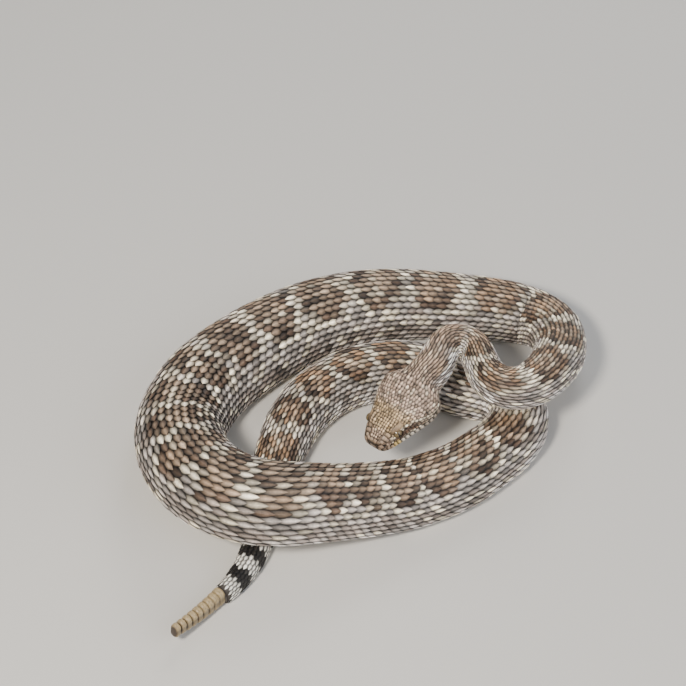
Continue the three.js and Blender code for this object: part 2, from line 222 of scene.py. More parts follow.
class Outside:
    """The snake's outside as a sheet of points. s is the distance in millimetres behind the nape, below 0 on
    the head, and its last SNOUT_CAP run over the flat tip of the snout to the mouth's middle. q is the share
    of the way round: 0 along the back, 1 and -1 under the belly, above 0 on the left."""

    HEAD_STEP, BODY_STEP, ROUND, SECTION_POINTS = 0.5, 1.0, 256, 181
    CAP_CLOSES = 0.97
    COLLAR_RINGS = 8
    BROW_RISE, BROW_PASSES = 1.7, 9

    def __init__(self):
        line, run = belly_points()
        self.length = run[-1] - NAPE_AT
        head_s = np.arange(-HEAD_LENGTH - SNOUT_CAP, 0, self.HEAD_STEP)
        body_s = np.append(np.arange(0, self.length, self.BODY_STEP), self.length)
        self.s = np.concatenate([head_s, body_s])
        self.head_rings = len(head_s)

        def line_at(s):
            return np.stack([np.interp(s + NAPE_AT, run, line[:, k]) for k in range(3)], -1)

        reach = 0.75 * LINE_SPACING
        back = unit(line_at(body_s + reach) - line_at(body_s - reach))
        side = unit(np.cross(back, (0, 0, 1)))
        up = np.cross(side, back)
        width = along(WIDTH_ALONG, body_s)
        height = width * along(HEIGHT_SHARE_ALONG, body_s)
        belly = line_at(body_s)

        self.forward, self.left, self.up = -back[0], side[0], up[0]
        self.head_origin = belly[0] + up[0] * height[0] / 2 + self.forward * JOINT
        self.tail_end = belly[-1], back[-1], side[-1], up[-1], height[-1]
        heads = np.ones((len(head_s), 1))
        head_x = np.minimum(-head_s, HEAD_LENGTH)
        origin = np.vstack([self.head_origin + head_x[:, None] * self.forward, belly])
        sides, ups = np.vstack([heads * side[0], side]), np.vstack([heads * up[0], up])
        backs = np.vstack([heads * back[0], back])

        angle = np.linspace(math.pi / 2, -math.pi / 2, self.SECTION_POINTS)
        halves = [self.head_ring(s, angle) for s in head_s]
        halves += [body_half_section(angle, w, h) for w, h in zip(width, height)]
        shares = np.linspace(0, 1, self.ROUND // 2 + 1)
        self.girth = np.empty(len(self.s))
        across, upward = np.empty((2, len(self.s), len(shares)))
        for i, (y, z) in enumerate(halves):
            arc = np.r_[0, np.cumsum(np.hypot(np.diff(y), np.diff(z)))]
            self.girth[i] = 2 * arc[-1]
            across[i], upward[i] = (np.interp(shares * arc[-1], arc, v) for v in (y, z))
        self.half_across, self.half_upward = across, upward
        self.height = np.concatenate([np.zeros(len(head_s)), height])
        across = np.concatenate([-across[:, :0:-1], across], 1)
        upward = np.concatenate([upward[:, :0:-1], upward], 1)
        local_x = np.concatenate([head_x, -body_s])[:, None]
        self.local = np.stack([np.broadcast_to(local_x, across.shape), across,
                               upward - self.height[:, None] / 2], -1)
        self.points = (origin[:, None] + sides[:, None] * across[..., None]
                       + ups[:, None] * upward[..., None])
        self.normals = self.sheet_normals(backs)
        self.raise_brows(backs)
        body_depth = BODY_DEPTH[0] + BODY_DEPTH[1] * along(WIDTH_ALONG, np.maximum(self.s, 0))
        self.depth = body_depth + (HEAD_DEPTH - body_depth) * smooth(4, -14, self.s)
        self.mouth_q = self.find_mouth()

    @classmethod
    def head_ring(cls, s, angle):
        """The head's half section at s, which draws in to the mouth's middle over the snout's flat tip"""
        y, z = head_half_section(min(-s, HEAD_LENGTH), angle)
        inwards = 1 - cls.CAP_CLOSES * max(0, -HEAD_LENGTH - s) / SNOUT_CAP
        middle = MOUTH_LINE[-1][1]
        return y * inwards, middle + (z - middle) * inwards

    def sheet_normals(self, backs):
        """In the ring's plane on the body, and square to the real surface on the head"""
        front = slice(0, self.head_rings + self.COLLAR_RINGS)
        round_way = np.gradient(self.points, axis=1)
        round_way[:, 0] = round_way[:, -1] = self.points[:, 1] - self.points[:, -2]
        along_way = np.gradient(self.points[front], axis=0)
        share = smooth(6, -6, self.s[front])[:, None, None]
        ways = np.broadcast_to(backs[:, None], self.points.shape).copy()
        ways[front] = ways[front] * (1 - share) + unit(along_way) * share
        return unit(np.cross(round_way, ways))

    def raise_brows(self, backs):
        """Lifts the sheet over the brows' ridges, with a soft foot"""
        head = slice(0, self.head_rings)
        local_normals = self.to_local(self.normals[head], turn_only=True)
        lift = sum(push(self.local[head], local_normals, BROW, side, True) for side in (1, -1))
        lift = np.minimum(lift, self.BROW_RISE)
        for _ in range(self.BROW_PASSES):
            lift[1:-1] = (lift[:-2] + 2 * lift[1:-1] + lift[2:]) / 4
            lift[:, 1:-1] = (lift[:, :-2] + 2 * lift[:, 1:-1] + lift[:, 2:]) / 4
        self.points[head] += self.normals[head] * lift[..., None]
        self.local[head] += local_normals * lift[..., None]
        self.normals = self.sheet_normals(backs)

    def to_local(self, places, turn_only=False):
        axes = np.stack([self.forward, self.left, self.up], -1)
        return (places if turn_only else places - self.head_origin) @ axes

    def from_local(self, places):
        return self.head_origin + np.asarray(places, float) @ np.stack([self.forward, self.left, self.up])

    def find_mouth(self):
        """The share round at which each of the head's rings meets the line of the mouth"""
        shares = np.linspace(0, 1, self.half_upward.shape[1])
        found = [np.interp(-along(MOUTH_LINE, -s), -up, shares)
                 for s, up in zip(self.s[:self.head_rings], self.half_upward)]
        return np.concatenate([found, np.full(len(self.s) - len(found), found[-1])])

    def q_of_side(self, x, z):
        """The share round, on the left, of the place on the head at x and z"""
        ring = int(np.argmin(np.abs(self.s + x)))
        shares = np.linspace(0, 1, self.half_upward.shape[1])
        return float(np.interp(-z, -self.half_upward[ring], shares))

    def q_of_top(self, x, y, under=False):
        """The share round, on the left, of the place at x and y on the top of the head, or under it"""
        ring = int(np.argmin(np.abs(self.s + x)))
        across = self.half_across[ring]
        shares = np.linspace(0, 1, len(across))
        widest = int(np.argmax(across))
        part = slice(len(across) - 1, widest, -1) if under else slice(0, widest)
        return float(np.interp(y, across[part], shares[part]))

    def on_snout(self, y, z):
        """The distance and the share round of places on the flat tip of the snout"""
        ring = int(np.argmin(np.abs(self.s + HEAD_LENGTH)))
        middle = MOUTH_LINE[-1][1]
        edge_y, edge_z = self.half_across[ring], self.half_upward[ring] - middle
        turn = np.arctan2(np.abs(y), z - middle)
        turns = np.arctan2(edge_y, edge_z)
        q = np.interp(turn, turns, np.linspace(0, 1, len(turns)))
        share = np.hypot(y, z - middle) / np.interp(turn, turns, np.hypot(edge_y, edge_z))
        return -HEAD_LENGTH - SNOUT_CAP * (1 - np.minimum(share, 1)), np.where(y < 0, -q, q)

    def girth_at(self, s):
        return np.interp(s, self.s, self.girth)

    def depth_at(self, s):
        return np.interp(s, self.s, self.depth)

    def blended(self, grid, s, q):
        """The values of a grid over the sheet at places between its points"""
        i = np.interp(s, self.s, np.arange(len(self.s)))
        j = (np.asarray(q) + 1) / 2 % 1 * self.ROUND
        i, j = np.broadcast_arrays(i, j)
        i0 = np.minimum(i.astype(int), len(self.s) - 2)
        j0 = np.minimum(j.astype(int), self.ROUND - 1)
        u, v = (i - i0)[..., None], (j - j0)[..., None]
        return ((grid[i0, j0] * (1 - u) + grid[i0 + 1, j0] * u) * (1 - v)
                + (grid[i0, j0 + 1] * (1 - u) + grid[i0 + 1, j0 + 1] * u) * v)

    def at(self, s, q, lift=0.0):
        """Places that many millimetres over the skin, which lies the scales' depth inside the solids"""
        height = np.asarray(lift) - self.depth_at(s)
        return self.blended(self.points, s, q) + unit(self.blended(self.normals, s, q)) * height[..., None]


# Where the rows of scales lie

BACK_ROWS = 27
TAIL_ROWS = 15
THROAT_ROWS = 8
LIP_PLATE = 3.0
CHIN_PLATE = 2.7
BELLY_FROM, BELLY_FULL = -10, 16
CROWN_END = -10
BACK_PITCH = [(9, 3.0), (20, 3.5), (28, 4.5), (33, 5.1), (52, 5.7)]
CROWN_PITCH = [(-53, 1.5), (-42, 1.65), (-33, 1.85), (-19, 2.3), (0, 3.4)]
CROWN_SPACING = [(-53, 1.5), (-42, 1.6), (-33, 1.75), (-19, 2.05), (-8, 2.25)]


def back_edge(snake, s):
    """The share round at which the back's rows end: over the lips on the head, at the belly plates behind"""
    over_lip = np.interp(s, snake.s, snake.mouth_q) - 2 * LIP_PLATE / snake.girth_at(s)
    return over_lip + (BELLY_EDGE - over_lip) * smooth(-MOUTH_CORNER - 3, BELLY_FULL - 4, s)


def throat_edge(snake, s):
    """The share round at which the throat's rows start, under the lower lips"""
    under_lip = np.interp(s, snake.s, snake.mouth_q) + 2 * CHIN_PLATE / snake.girth_at(s)
    back = back_edge(snake, s)
    return under_lip + (back - under_lip) * smooth(-MOUTH_CORNER - 2, -MOUTH_CORNER + 1.5, s)


def belly_half(s):
    """Half the share round that the belly plates take"""
    return (1 - BELLY_EDGE) * smooth(BELLY_FROM, BELLY_FULL, s)


def back_pitch(s):
    """The step from one scale to the next along a row"""
    return np.where(s < 0, along(CROWN_PITCH, s), along(BACK_PITCH, along(WIDTH_ALONG, np.maximum(s, 0))))


def steps_along(first, last, pitch):
    """Distances from first to last that are each a pitch apart"""
    found = [first]
    while found[-1] + float(pitch(found[-1])) < last:
        found.append(found[-1] + float(pitch(found[-1])))
    return np.array(found)


# Markings

SADDLE_SPACING = [(-10, 17), (30, 20), (60, 26), (100, 33), (150, 37), (260, 36), (320, 34), (380, 29),
                  (450, 26), (560, 23), (650, 27), (905, 24)]
FIRST_SADDLE = 29


def saddle_phase(s):
    """Whole numbers at the pale saddles across the back, and halves at the middles of the diamonds"""
    fine = np.arange(-60, 1000, 0.5)
    phase = np.cumsum(0.5 / along(SADDLE_SPACING, fine))
    return np.interp(s, fine, phase) - np.interp(FIRST_SADDLE, fine, phase)


# How far down the side the diamonds reach, how wide the pale saddles between them are, where the flank turns
# whitish, and how warm the brown is, by distance behind the nape
DIAMOND_REACH = [(0, 0.42), (60, 0.44), (150, 0.4), (230, 0.35), (420, 0.37), (530, 0.42), (660, 0.4),
                 (730, 0.3), (860, 0.34), (905, 0.5)]
SADDLE_GAP = [(0, 0.1), (60, 0.2), (400, 0.2), (530, 0.14), (660, 0.14), (740, 0.2)]
PALE_FLANK_FROM = [(0, 0.16), (40, 0.2), (80, 0.5), (200, 0.66), (640, 0.6), (730, 0.24), (860, 0.36)]
WARMTH = [(0, 0.4), (60, 0.8), (190, 0.7), (270, 0.2), (480, 0.25), (640, 0.5), (730, 1), (905, 0.8)]
# The height of the dark stripe on the face by the place along the head
FACE_STRIPE = [(8, -1.5), (15, -0.6), (26, 1.2), (38, 3.4), (43.5, 1.0), (48, -1.5)]
# How many chances each place draws, and how far the edges of the marks wander
CHANCES = 5
WANDER = 0.05


class Paint:
    """The coat's colours at many places as linear values, which each mark is mixed into"""

    def __init__(self, colours, shape):
        self.base = {key: np.array(getattr(colours, key)[:3]) for key in colours.bl_rna.properties.keys()
                     if key.startswith("coat_")}
        self.result = np.empty(shape + (3,))
        self.result[:] = self.base["coat_flank"]

    def __call__(self, key, amount):
        self.result += (self.base["coat_" + key] - self.result) * np.clip(amount, 0, 1)[..., None]


def mark_body(paint, s, edge, chance, wander):
    """Dark-rimmed diamonds with pale borders on a mottled flank that turns whitish, and the cream belly. edge
    is 0 along the back and 1 where the belly plates start."""
    reach, pale_from = along(DIAMOND_REACH, s), along(PALE_FLANK_FROM, s)
    phase = saddle_phase(s)
    crest = smooth(0.92, 0.45, edge / reach)
    off = 2 * np.abs(phase - np.floor(phase) - 0.5) * (1 + along(SADDLE_GAP, s) * crest) + wander[0]
    down = edge / reach + wander[1]
    diamond = np.maximum(np.maximum(off, down), (off + down) / 1.42)
    inside = smooth(1.0, 0.9, diamond)
    paint("low_flank", 0.9 * smooth(pale_from, pale_from + 0.34, edge))
    spot = np.hypot((1 - off) * 1.2, (edge - 0.66) / 0.16)
    paint("side_spot", 0.65 * smooth(1.05, 0.5, spot) * (chance[0] > 0.3))
    paint("side_spot", 0.8 * (chance[0] < 0.22))
    paint("border", 0.75 * (chance[1] > 0.84))
    on_crest = 0.85 * crest * (0.5 + 0.5 * (chance[3] > 0.2))
    on_flank = 0.7 * (1 - crest) * (chance[3] > 0.62)
    paint("border", smooth(1.3, 1.06, diamond) * smooth(-20, 50, s) * (on_crest + on_flank))
    paint("diamond", inside)
    paint("diamond_heart", 0.7 * smooth(0.6, 0.15, diamond))
    paint("diamond_warm", along(WARMTH, s) * inside * smooth(0.3, 0.9, chance[4]))
    paint("diamond_edge", inside * smooth(0.6, 0.8, diamond) * (0.15 + 0.75 * (chance[2] > 0.35)))
    paint("diamond_edge", 0.75 * inside * (chance[0] < 0.18))
    paint("border", 0.45 * inside * (chance[1] < 0.12))
    paint("crown", 0.55 * smooth(48, 10, s) * smooth(0.4, 0.2, edge))
    paint("belly", smooth(0.93, 1.02, edge))


def mark_tail(paint, s, edge, wander):
    """Black rings on ash white"""
    on_tail = smooth(VENT_AT - 6, VENT_AT + 4, s)
    ring = np.sin((s - VENT_AT) / TAIL_RING * 2 * math.pi + 0.6) + 2 * wander[0]
    paint("tail_pale", on_tail)
    paint("tail_black", on_tail * smooth(-0.15, 0.2, ring) * smooth(1.2, 1.0, edge))


def mark_head(paint, local, chance, wander):
    """Crown with flecks, brows, snout, the dark stripe between pale lines behind the eye, and the lips"""
    x, y, z = local[..., 0], np.abs(local[..., 1]), local[..., 2]
    on_head = smooth(-3, 9, x)
    line = along(MOUTH_LINE, x)
    paint("crown", on_head * smooth(-9, -3, z))
    paint("belly", on_head * smooth(line - 1, line - 4, z))
    paint("crown_dark", on_head * smooth(0.68, 0.85, chance[1]) * smooth(0, 4, z) * 0.6)
    paint("crown_pale", on_head * smooth(0.8, 0.9, chance[2]) * smooth(-2, 1, z) * 0.6)
    paint("crown_warm", smooth(26, 33, x) * smooth(48, 42, x) * smooth(3, 6, z) * 0.75)
    brow = smooth(5.6, 6.8, y) * smooth(6.8, 7.6, z) * smooth(32.5, 34, x) * smooth(47, 45.5, x)
    paint("crown_dark", brow * (0.3 + 0.4 * smooth(2.6, 0.6, np.abs(x - 40.5 + 0.4 * (y - 8)))))
    paint("border", brow * smooth(10.8, 11.4, y) * 0.5)
    paint("snout", smooth(44, 49, x) * smooth(-3, -1, z) * 0.6)
    stripe = z - along(FACE_STRIPE, x) + wander[0] * 4
    outward = smooth(4, 7, y) * smooth(8, 14, x) * smooth(47.5, 44.5, x)
    paint("border", 0.75 * outward * smooth(3.7, 2.9, np.abs(stripe)))
    paint("face_stripe", outward * smooth(2.5, 1.8, np.abs(stripe)) * (0.6 + 0.4 * smooth(20, 34, x)))
    lips = smooth(line - 3.4, line - 2.4, z) * smooth(line + 3.2, line + 2.6, z) * on_head * smooth(3, 5, y)
    paint("lip_pale", lips * smooth(-1.6, -2.3, stripe) * 0.9)
    paint("lip_dark", lips * np.maximum((chance[3] > 0.6) * 0.5, 0.6 * smooth(34, 24, x)))
    paint("lip_yellow", smooth(3.0, 1.9, np.hypot(x - 44.5, (z + 1.0) * 0.9)) * smooth(6, 8, y))


def coat_colours(snake, colours, s, q, rng, spread=1.0):
    """The colour of the coat at each place. spread is how much it varies from scale to scale"""
    s, q = np.asarray(s, float), np.asarray(q, float)
    chance = rng.random((CHANCES, *s.shape)) if spread else np.full((CHANCES, *s.shape), 0.5)
    wander = rng.normal(0, WANDER * spread, (2, *s.shape))
    edge = np.clip(np.abs(q) / BELLY_EDGE, 0, 1.25)
    paint = Paint(colours, s.shape)
    mark_body(paint, s, edge, chance, wander)
    mark_tail(paint, s, edge, wander)
    mark_head(paint, snake.blended(snake.local, s, q), chance, wander)
    return paint.result


# Materials

KERATIN_IOR = 1.55


def add(tree, kind, links=None, **settings):
    """Adds a node with its settings, and gives each input a value or a link"""
    node = tree.nodes.new(kind)
    for name, value in settings.items():
        setattr(node, name, value)
    for key, value in (links or {}).items():
        if isinstance(value, bpy.types.NodeSocket):
            tree.links.new(value, node.inputs[key])
        else:
            node.inputs[key].default_value = value
    return node


def new_material(name):
    material = bpy.data.materials.new(name)
    material.use_nodes = True
    material.node_tree.nodes.clear()
    return material, material.node_tree


def finish_material(tree, links):
    shader = add(tree, "ShaderNodeBsdfPrincipled", links)
    add(tree, "ShaderNodeOutputMaterial", {"Surface": shader.outputs[0]})


def per_mm(size):
    """A texture's scale for features of that many millimetres"""
    return 1 / (size * MM)


def scale_material(name, roughness, sheen, groove_depth, skin=False):
    """Keratin scales: dry and finely striated, darkened at their roots and sides as painted shade, lighter on
    the keel as a painted highlight, and lighter towards the tip, partly their own paler tips and partly
    painted highlight
    """
    material, tree = new_material(name)
    place = add(tree, "ShaderNodeTexCoord").outputs["Object"]
    coat = add(tree, "ShaderNodeAttribute", attribute_name="coat_colour").outputs["Color"]
    parts = add(tree, "ShaderNodeAttribute", attribute_name="scale_place")
    tone, root, rim = add(tree, "ShaderNodeSeparateColor", {0: parts.outputs["Color"]}).outputs
    dust = add(tree, "ShaderNodeTexNoise", {"Vector": place, "Scale": per_mm(2.6), "Detail": 4.0}).outputs[0]
    grain = add(tree, "ShaderNodeTexNoise", {"Vector": place, "Scale": per_mm(0.45), "Detail": 3.0})
    # tone is each scale's own lightness at random, and dust and speck are its own mottling. root darkens the
    # root, where the scale before lies over it, as painted shade, and lightens towards the tip, partly the
    # scale's own paler tip and partly painted highlight. rim darkens the sides as painted shade in the gaps
    # between scales, and keel lightens the keel as a painted highlight.
    ranges = {
        "tone": (tone, 0.0, 1.0, 0.46, 1.85),
        "dust": (dust, 0.32, 0.68, 0.8, 1.18),
        "speck": (grain.outputs[0], 0.36, 0.5, 0.6, 1.0),
        "root": (root, 0.15, 0.6, 0.16, 1.34),
        "rim": (rim, 0.34, 0.94, 1.18, 0.1),
        "keel": (parts.outputs["Alpha"], 0.0, 1.0, 0.95, 1.5),
    }
    total = 1.0
    for key, (value, low, high, at_low, at_high) in ranges.items():
        if not skin or key in ("dust", "speck"):
            links = {0: value, 1: low, 2: high, 3: at_low, 4: at_high}
            factor = add(tree, "ShaderNodeMapRange", links).outputs[0]
            total = add(tree, "ShaderNodeMath", {0: total, 1: factor}, operation="MULTIPLY").outputs[0]
    colour = add(tree, "ShaderNodeVectorMath", {0: coat, 3: total}, operation="SCALE").outputs[0]
    rough = add(tree, "ShaderNodeMapRange", {0: dust, 3: roughness - 0.1, 4: roughness + 0.14}).outputs[0]
    striae = add(tree, "ShaderNodeTexNoise", {"Vector": place, "Scale": per_mm(0.3), "Detail": 5.0})
    bump = add(tree, "ShaderNodeBump", {"Height": striae.outputs[0], "Strength": 0.6,
                                         "Distance": groove_depth * MM})
    finish_material(tree, {"Base Color": colour, "Roughness": rough, "Normal": bump.outputs[0],
                           "IOR": KERATIN_IOR, "Specular IOR Level": sheen, "Subsurface Weight": 0.04,
                           "Subsurface Radius": (0.002, 0.001, 0.0006), "Subsurface Scale": 0.3})
    return material


def rattle_material(colours):
    """Horn of the rattle: straw to brown, darker in each ring's waists and side grooves as painted shade,
    with growth lines round each ring
    """
    material, tree = new_material("rattle_horn")
    place = add(tree, "ShaderNodeTexCoord").outputs["Object"]
    # A share from each ring's relief: low in its waists and side grooves, which take the dark horn colour as
    # painted shade.
    depth = add(tree, "ShaderNodeAttribute", attribute_name="ring_depth").outputs["Fac"]
    grain = add(tree, "ShaderNodeTexNoise", {"Vector": place, "Scale": per_mm(1.3), "Detail": 6.0}).outputs[0]
    cloud = add(tree, "ShaderNodeMapRange", {0: grain, 1: 0.3, 2: 0.7, 3: 0.6, 4: 1.1}).outputs[0]
    mixed = add(tree, "ShaderNodeMath", {0: depth, 1: cloud}, operation="MULTIPLY").outputs[0]
    tint = add(tree, "ShaderNodeMix", {0: mixed, 6: tuple(colours.horn_dark), 7: tuple(colours.horn_pale)},
               data_type="RGBA")
    lines = add(tree, "ShaderNodeTexNoise", {"Vector": place, "Scale": per_mm(0.4), "Detail": 4.0}).outputs[0]
    bump = add(tree, "ShaderNodeBump", {"Height": lines, "Strength": 0.5, "Distance": 0.08 * MM})
    finish_material(tree, {"Base Color": tint.outputs[2], "Roughness": 0.42, "Normal": bump.outputs[0],
                           "IOR": KERATIN_IOR, "Subsurface Weight": 0.15,
                           "Subsurface Radius": (0.002, 0.0012, 0.0006), "Subsurface Scale": 0.4})
    return material


# Half the width and half the height of the pupil, as shares of the eye's radius
PUPIL_HALF_WIDTH, PUPIL_HALF_HEIGHT = 0.17, 0.74


def eye_material(colours):
    """The eye under its clear spectacle: a speckled bronze iris and an upright slit, with a wet gloss"""
    material, tree = new_material("eye_spectacle")
    gaze = add(tree, "ShaderNodeAttribute", attribute_name="gaze").outputs["Vector"]
    across, upright, outward = add(tree, "ShaderNodeSeparateXYZ", {0: gaze}).outputs
    squares = []
    for value, half in ((across, PUPIL_HALF_WIDTH), (upright, PUPIL_HALF_HEIGHT)):
        share = add(tree, "ShaderNodeMath", {0: value, 1: half}, operation="DIVIDE").outputs[0]
        squares.append(add(tree, "ShaderNodeMath", {0: share, 1: share}, operation="MULTIPLY").outputs[0])
    inside = add(tree, "ShaderNodeMath", {0: squares[0], 1: squares[1]}, operation="ADD").outputs[0]
    slit = add(tree, "ShaderNodeMapRange", {0: inside, 1: 0.85, 2: 1.1, 3: 1.0, 4: 0.0}).outputs[0]
    speckle = add(tree, "ShaderNodeTexNoise", {"Vector": gaze, "Scale": 9.0, "Detail": 8.0}).outputs[0]
    low = add(tree, "ShaderNodeMapRange", {0: upright, 1: -0.35, 2: 0.3}).outputs[0]
    light = add(tree, "ShaderNodeMath", {0: low, 1: speckle}, operation="MULTIPLY").outputs[0]
    rim = add(tree, "ShaderNodeMapRange", {0: outward, 1: 0.3, 2: 0.55}).outputs[0]
    dark, pale, pupil = (tuple(colour) for colour in (colours.iris_dark, colours.iris_pale, colours.pupil))
    iris = add(tree, "ShaderNodeMix", {0: light, 6: dark, 7: pale}, data_type="RGBA").outputs[2]
    ringed = add(tree, "ShaderNodeMix", {0: rim, 6: pupil, 7: iris}, data_type="RGBA").outputs[2]
    final = add(tree, "ShaderNodeMix", {0: slit, 6: ringed, 7: pupil}, data_type="RGBA").outputs[2]
    finish_material(tree, {"Base Color": final, "Roughness": 0.08, "IOR": 1.42, "Coat Weight": 1.0,
                           "Coat Roughness": 0.03})
    return material


def floor_material(colours):
    """Matt paper of the studio's floor"""
    material, tree = new_material("floor_paper")
    place = add(tree, "ShaderNodeTexCoord").outputs["Object"]
    grain = add(tree, "ShaderNodeTexNoise", {"Vector": place, "Scale": per_mm(3), "Detail": 2.0}).outputs[0]
    bump = add(tree, "ShaderNodeBump", {"Height": grain, "Strength": 0.1, "Distance": 0.2 * MM}).outputs[0]
    finish_material(tree, {"Base Color": tuple(colours.floor), "Roughness": 0.85, "Normal": bump})
    return material


# Meshes

def mesh_object(name, points, loops, sizes, layers=None, patches=None):
    """A mesh object from points in millimetres, its faces' corners in one run and each face's size"""
    mesh = bpy.data.meshes.new(name)
    mesh.vertices.add(len(points))
    mesh.vertices.foreach_set("co", (np.asarray(points) * MM).astype(np.float32).ravel())
    mesh.loops.add(len(loops))
    mesh.loops.foreach_set("vertex_index", np.asarray(loops, np.int32))
    mesh.polygons.add(len(sizes))
    starts = np.r_[0, np.cumsum(sizes)[:-1]]
    mesh.polygons.foreach_set("loop_start", starts.astype(np.int32))
    mesh.polygons.foreach_set("loop_total", np.asarray(sizes, np.int32))
    mesh.polygons.foreach_set("use_smooth", np.ones(len(sizes), bool))
    mesh.update(calc_edges=True)
    for key, values in (layers or {}).items():
        kind, field = {1: ("FLOAT", "value"), 3: ("FLOAT_VECTOR", "vector"), 4: ("FLOAT_COLOR", "color")}[
            1 if values.ndim == 1 else values.shape[1]]
        layer = mesh.attributes.new(key, kind, "POINT")
        layer.data.foreach_set(field, values.astype(np.float32).ravel())
    if patches is not None:
        uv = mesh.uv_layers.new(name="OFBake")
        uv.data.foreach_set("uv", patches[np.asarray(loops)].astype(np.float32).ravel())
    item = bpy.data.objects.new(name, mesh)
    bpy.context.scene.collection.objects.link(item)
    return item


def closed(item):
    """Recalculates the faces outwards"""
    work = bmesh.new()
    work.from_mesh(item.data)
    bmesh.ops.recalc_face_normals(work, faces=work.faces)
    work.to_mesh(item.data)
    work.free()
    return item


class Template:
    """One scale as a closed grid. across holds the places of its columns from edge to edge, and outline its
    half width by the share of its length. a and b are each point's shares along and across, and top is False
    for the points on the underside of the rim."""

    def __init__(self, shares, across, outline):
        across = np.asarray(across, float)
        rows, columns = len(shares), len(across)
        self.a = np.concatenate([np.repeat(shares, columns), shares, shares])
        self.b = np.concatenate([np.tile(across, rows), np.full(rows, -1.0), np.full(rows, 1.0)])
        self.top = np.arange(len(self.a)) < rows * columns
        self.half = along(outline, self.a)
        index = np.arange(rows * columns).reshape(rows, columns)
        left, right = rows * columns + np.arange(rows), rows * columns + rows + np.arange(rows)
        faces = []
        for i in range(rows - 1):
            for j in range(columns - 1):
                faces.append([index[i, j], index[i, j + 1], index[i + 1, j + 1], index[i + 1, j]])
            faces.append([left[i], left[i + 1], right[i + 1], right[i]])
            faces.append([index[i, 0], index[i + 1, 0], left[i + 1], left[i]])
            faces.append([index[i, -1], right[i], right[i + 1], index[i + 1, -1]])
        faces.append([left[0], right[0], *index[0, ::-1]])
        faces.append([*index[-1], right[-1], left[-1]])
        self.loops = np.concatenate(faces)
        self.sizes = np.array([len(f) for f in faces])


SHARES = np.array([0, 0.2, 0.4, 0.58, 0.74, 0.88, 0.97, 1.0])
KEELED = Template(SHARES, [-1, -0.6, -0.16, 0, 0.16, 0.6, 1],
                  [(0, 0.5), (0.22, 0.86), (0.45, 1), (0.68, 0.88), (0.85, 0.56), (0.96, 0.22), (1, 0.06)])
SMALL = Template(np.array([0, 0.25, 0.5, 0.78, 1.0]), [-1, -0.5, 0, 0.5, 1],
                 [(0, 0.6), (0.25, 0.92), (0.5, 1), (0.78, 0.78), (1, 0.25)])
PLATE = Template(np.array([0, 0.08, 0.3, 0.5, 0.7, 0.92, 1.0]), [-1, -0.84, -0.42, 0, 0.42, 0.84, 1],
                 [(0, 0.66), (0.08, 0.9), (0.3, 1), (0.7, 1), (0.92, 0.9), (1, 0.66)])
SHIELD = Template(np.linspace(0, 1, 21), np.linspace(-1, 1, 13),
                  [(0, 0.2), (0.04, 0.48), (0.15, 0.8), (0.35, 1), (0.65, 0.96), (0.88, 0.7), (0.97, 0.4),
                   (1, 0.2)])
BELLY = Template(np.array([0, 0.35, 0.65, 0.85, 0.97, 1.0]), np.linspace(-1, 1, 19),
                 [(0, 1), (0.6, 1), (0.85, 0.97), (1, 0.9)])

# The strips that the skin's bake is cut into and their length in millimetres, and the side of a scale's patch
BAKE_STRIPS, STRIP_LENGTH = 7, 150.0
PATCH = 0.003


def bake_place(s, q):
    """Where a place lies on the skin unwrapped, cut into strips that fill a square"""
    run = np.clip(s + HEAD_LENGTH + 2, 0, BAKE_STRIPS * STRIP_LENGTH - 1)
    strip = np.floor(run / STRIP_LENGTH)
    round_share = (q + 1) / 2 % 1
    return np.stack([0.02 + 0.96 * (run / STRIP_LENGTH - strip),
                     (strip + 0.06 + 0.88 * round_share) / BAKE_STRIPS], -1)


class Relief:
    """How a scale stands over the skin, as shares of the coat's depth: the lift of its root and of its tip,
    the bulge and the keel on top of them, and the thickness of its rim"""

    def __init__(self, root, tip, bulge, rim, keel=0.0):
        self.root, self.tip, self.bulge, self.rim, self.keel = root, tip, bulge, rim, keel


KEELED_RELIEF = Relief(0.04, 0.8, 0.14, 0.24, 0.28)
SMALL_RELIEF = Relief(0.1, 0.62, 0.22, 0.26, 0.1)
FLAT_RELIEF = Relief(0.45, 0.62, 0.3, 0.45)
BROW_RELIEF = Relief(0.6, 0.8, 0.1, 0.6)
BELLY_RELIEF = Relief(0.3, 0.85, 0.0, 0.25)
# How light a scale is against its neighbours, as the middle and the spread of a share
SPREAD_OF_TONE = 0.27
TYPICAL_TONE, EVEN_TONE = 0.42, 0.12
# How far a scale leans to one side and how high it may stand, as shares of the coat's depth, and how wide its
# keel is as a share of its half width
TILT, HIGHEST, RIDGE_HALF_WIDTH = 0.035, 0.97, 0.13


def spread_scales(snake, template, root, length, half, middle, turn=0.0, sides=1.0):
    """The distances and shares round of the points of many scales. root, length and half are in millimetres,
    middle is the share round of each scale's middle line or a function that gives it, turn is its angle, and
    sides is -1 where it is mirrored."""
    root, length, half, turn, sides = (np.broadcast_to(value, root.shape)[:, None]
                                       for value in (root, length, half, turn, sides))
    ahead, aside = (template.a - 0.5) * length, template.b * template.half * half
    cos, sin = np.cos(turn), np.sin(turn)
    s = np.clip(root + length / 2 + cos * ahead - sin * aside, -HEAD_LENGTH - SNOUT_CAP, snake.length)
    outward = sides * (sin * ahead + cos * aside)
    return s, (middle(s) if callable(middle) else middle[:, None]) + 2 * outward / snake.girth_at(s)


def on_body(item, material, replaced=()):
    """Gives a finished piece its material and hangs it on the frame"""
    item.data.materials.clear()
    item.data.materials.append(material)
    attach(item, "root")
    if replaced:
        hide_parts(*replaced)
    return item


FLESH = ["head", "lower_jaw", "neck", *(f"torso_{i}" for i in range(1, 15)), "tail"]
made = {}


def the_snake():
    """The snake's outside, worked out once"""
    if "snake" not in made:
        made["snake"] = Outside()
    return made["snake"]


def keratin(kind):
    """The keeled scales' or the smooth plates' material, made once"""
    if kind not in made:
        roughness, sheen, groove_depth = {"keeled": (0.52, 0.42, 0.1), "smooth": (0.42, 0.5, 0.04)}[kind]
        made[kind] = scale_material(kind + "_keratin", roughness, sheen, groove_depth)
    return made[kind]


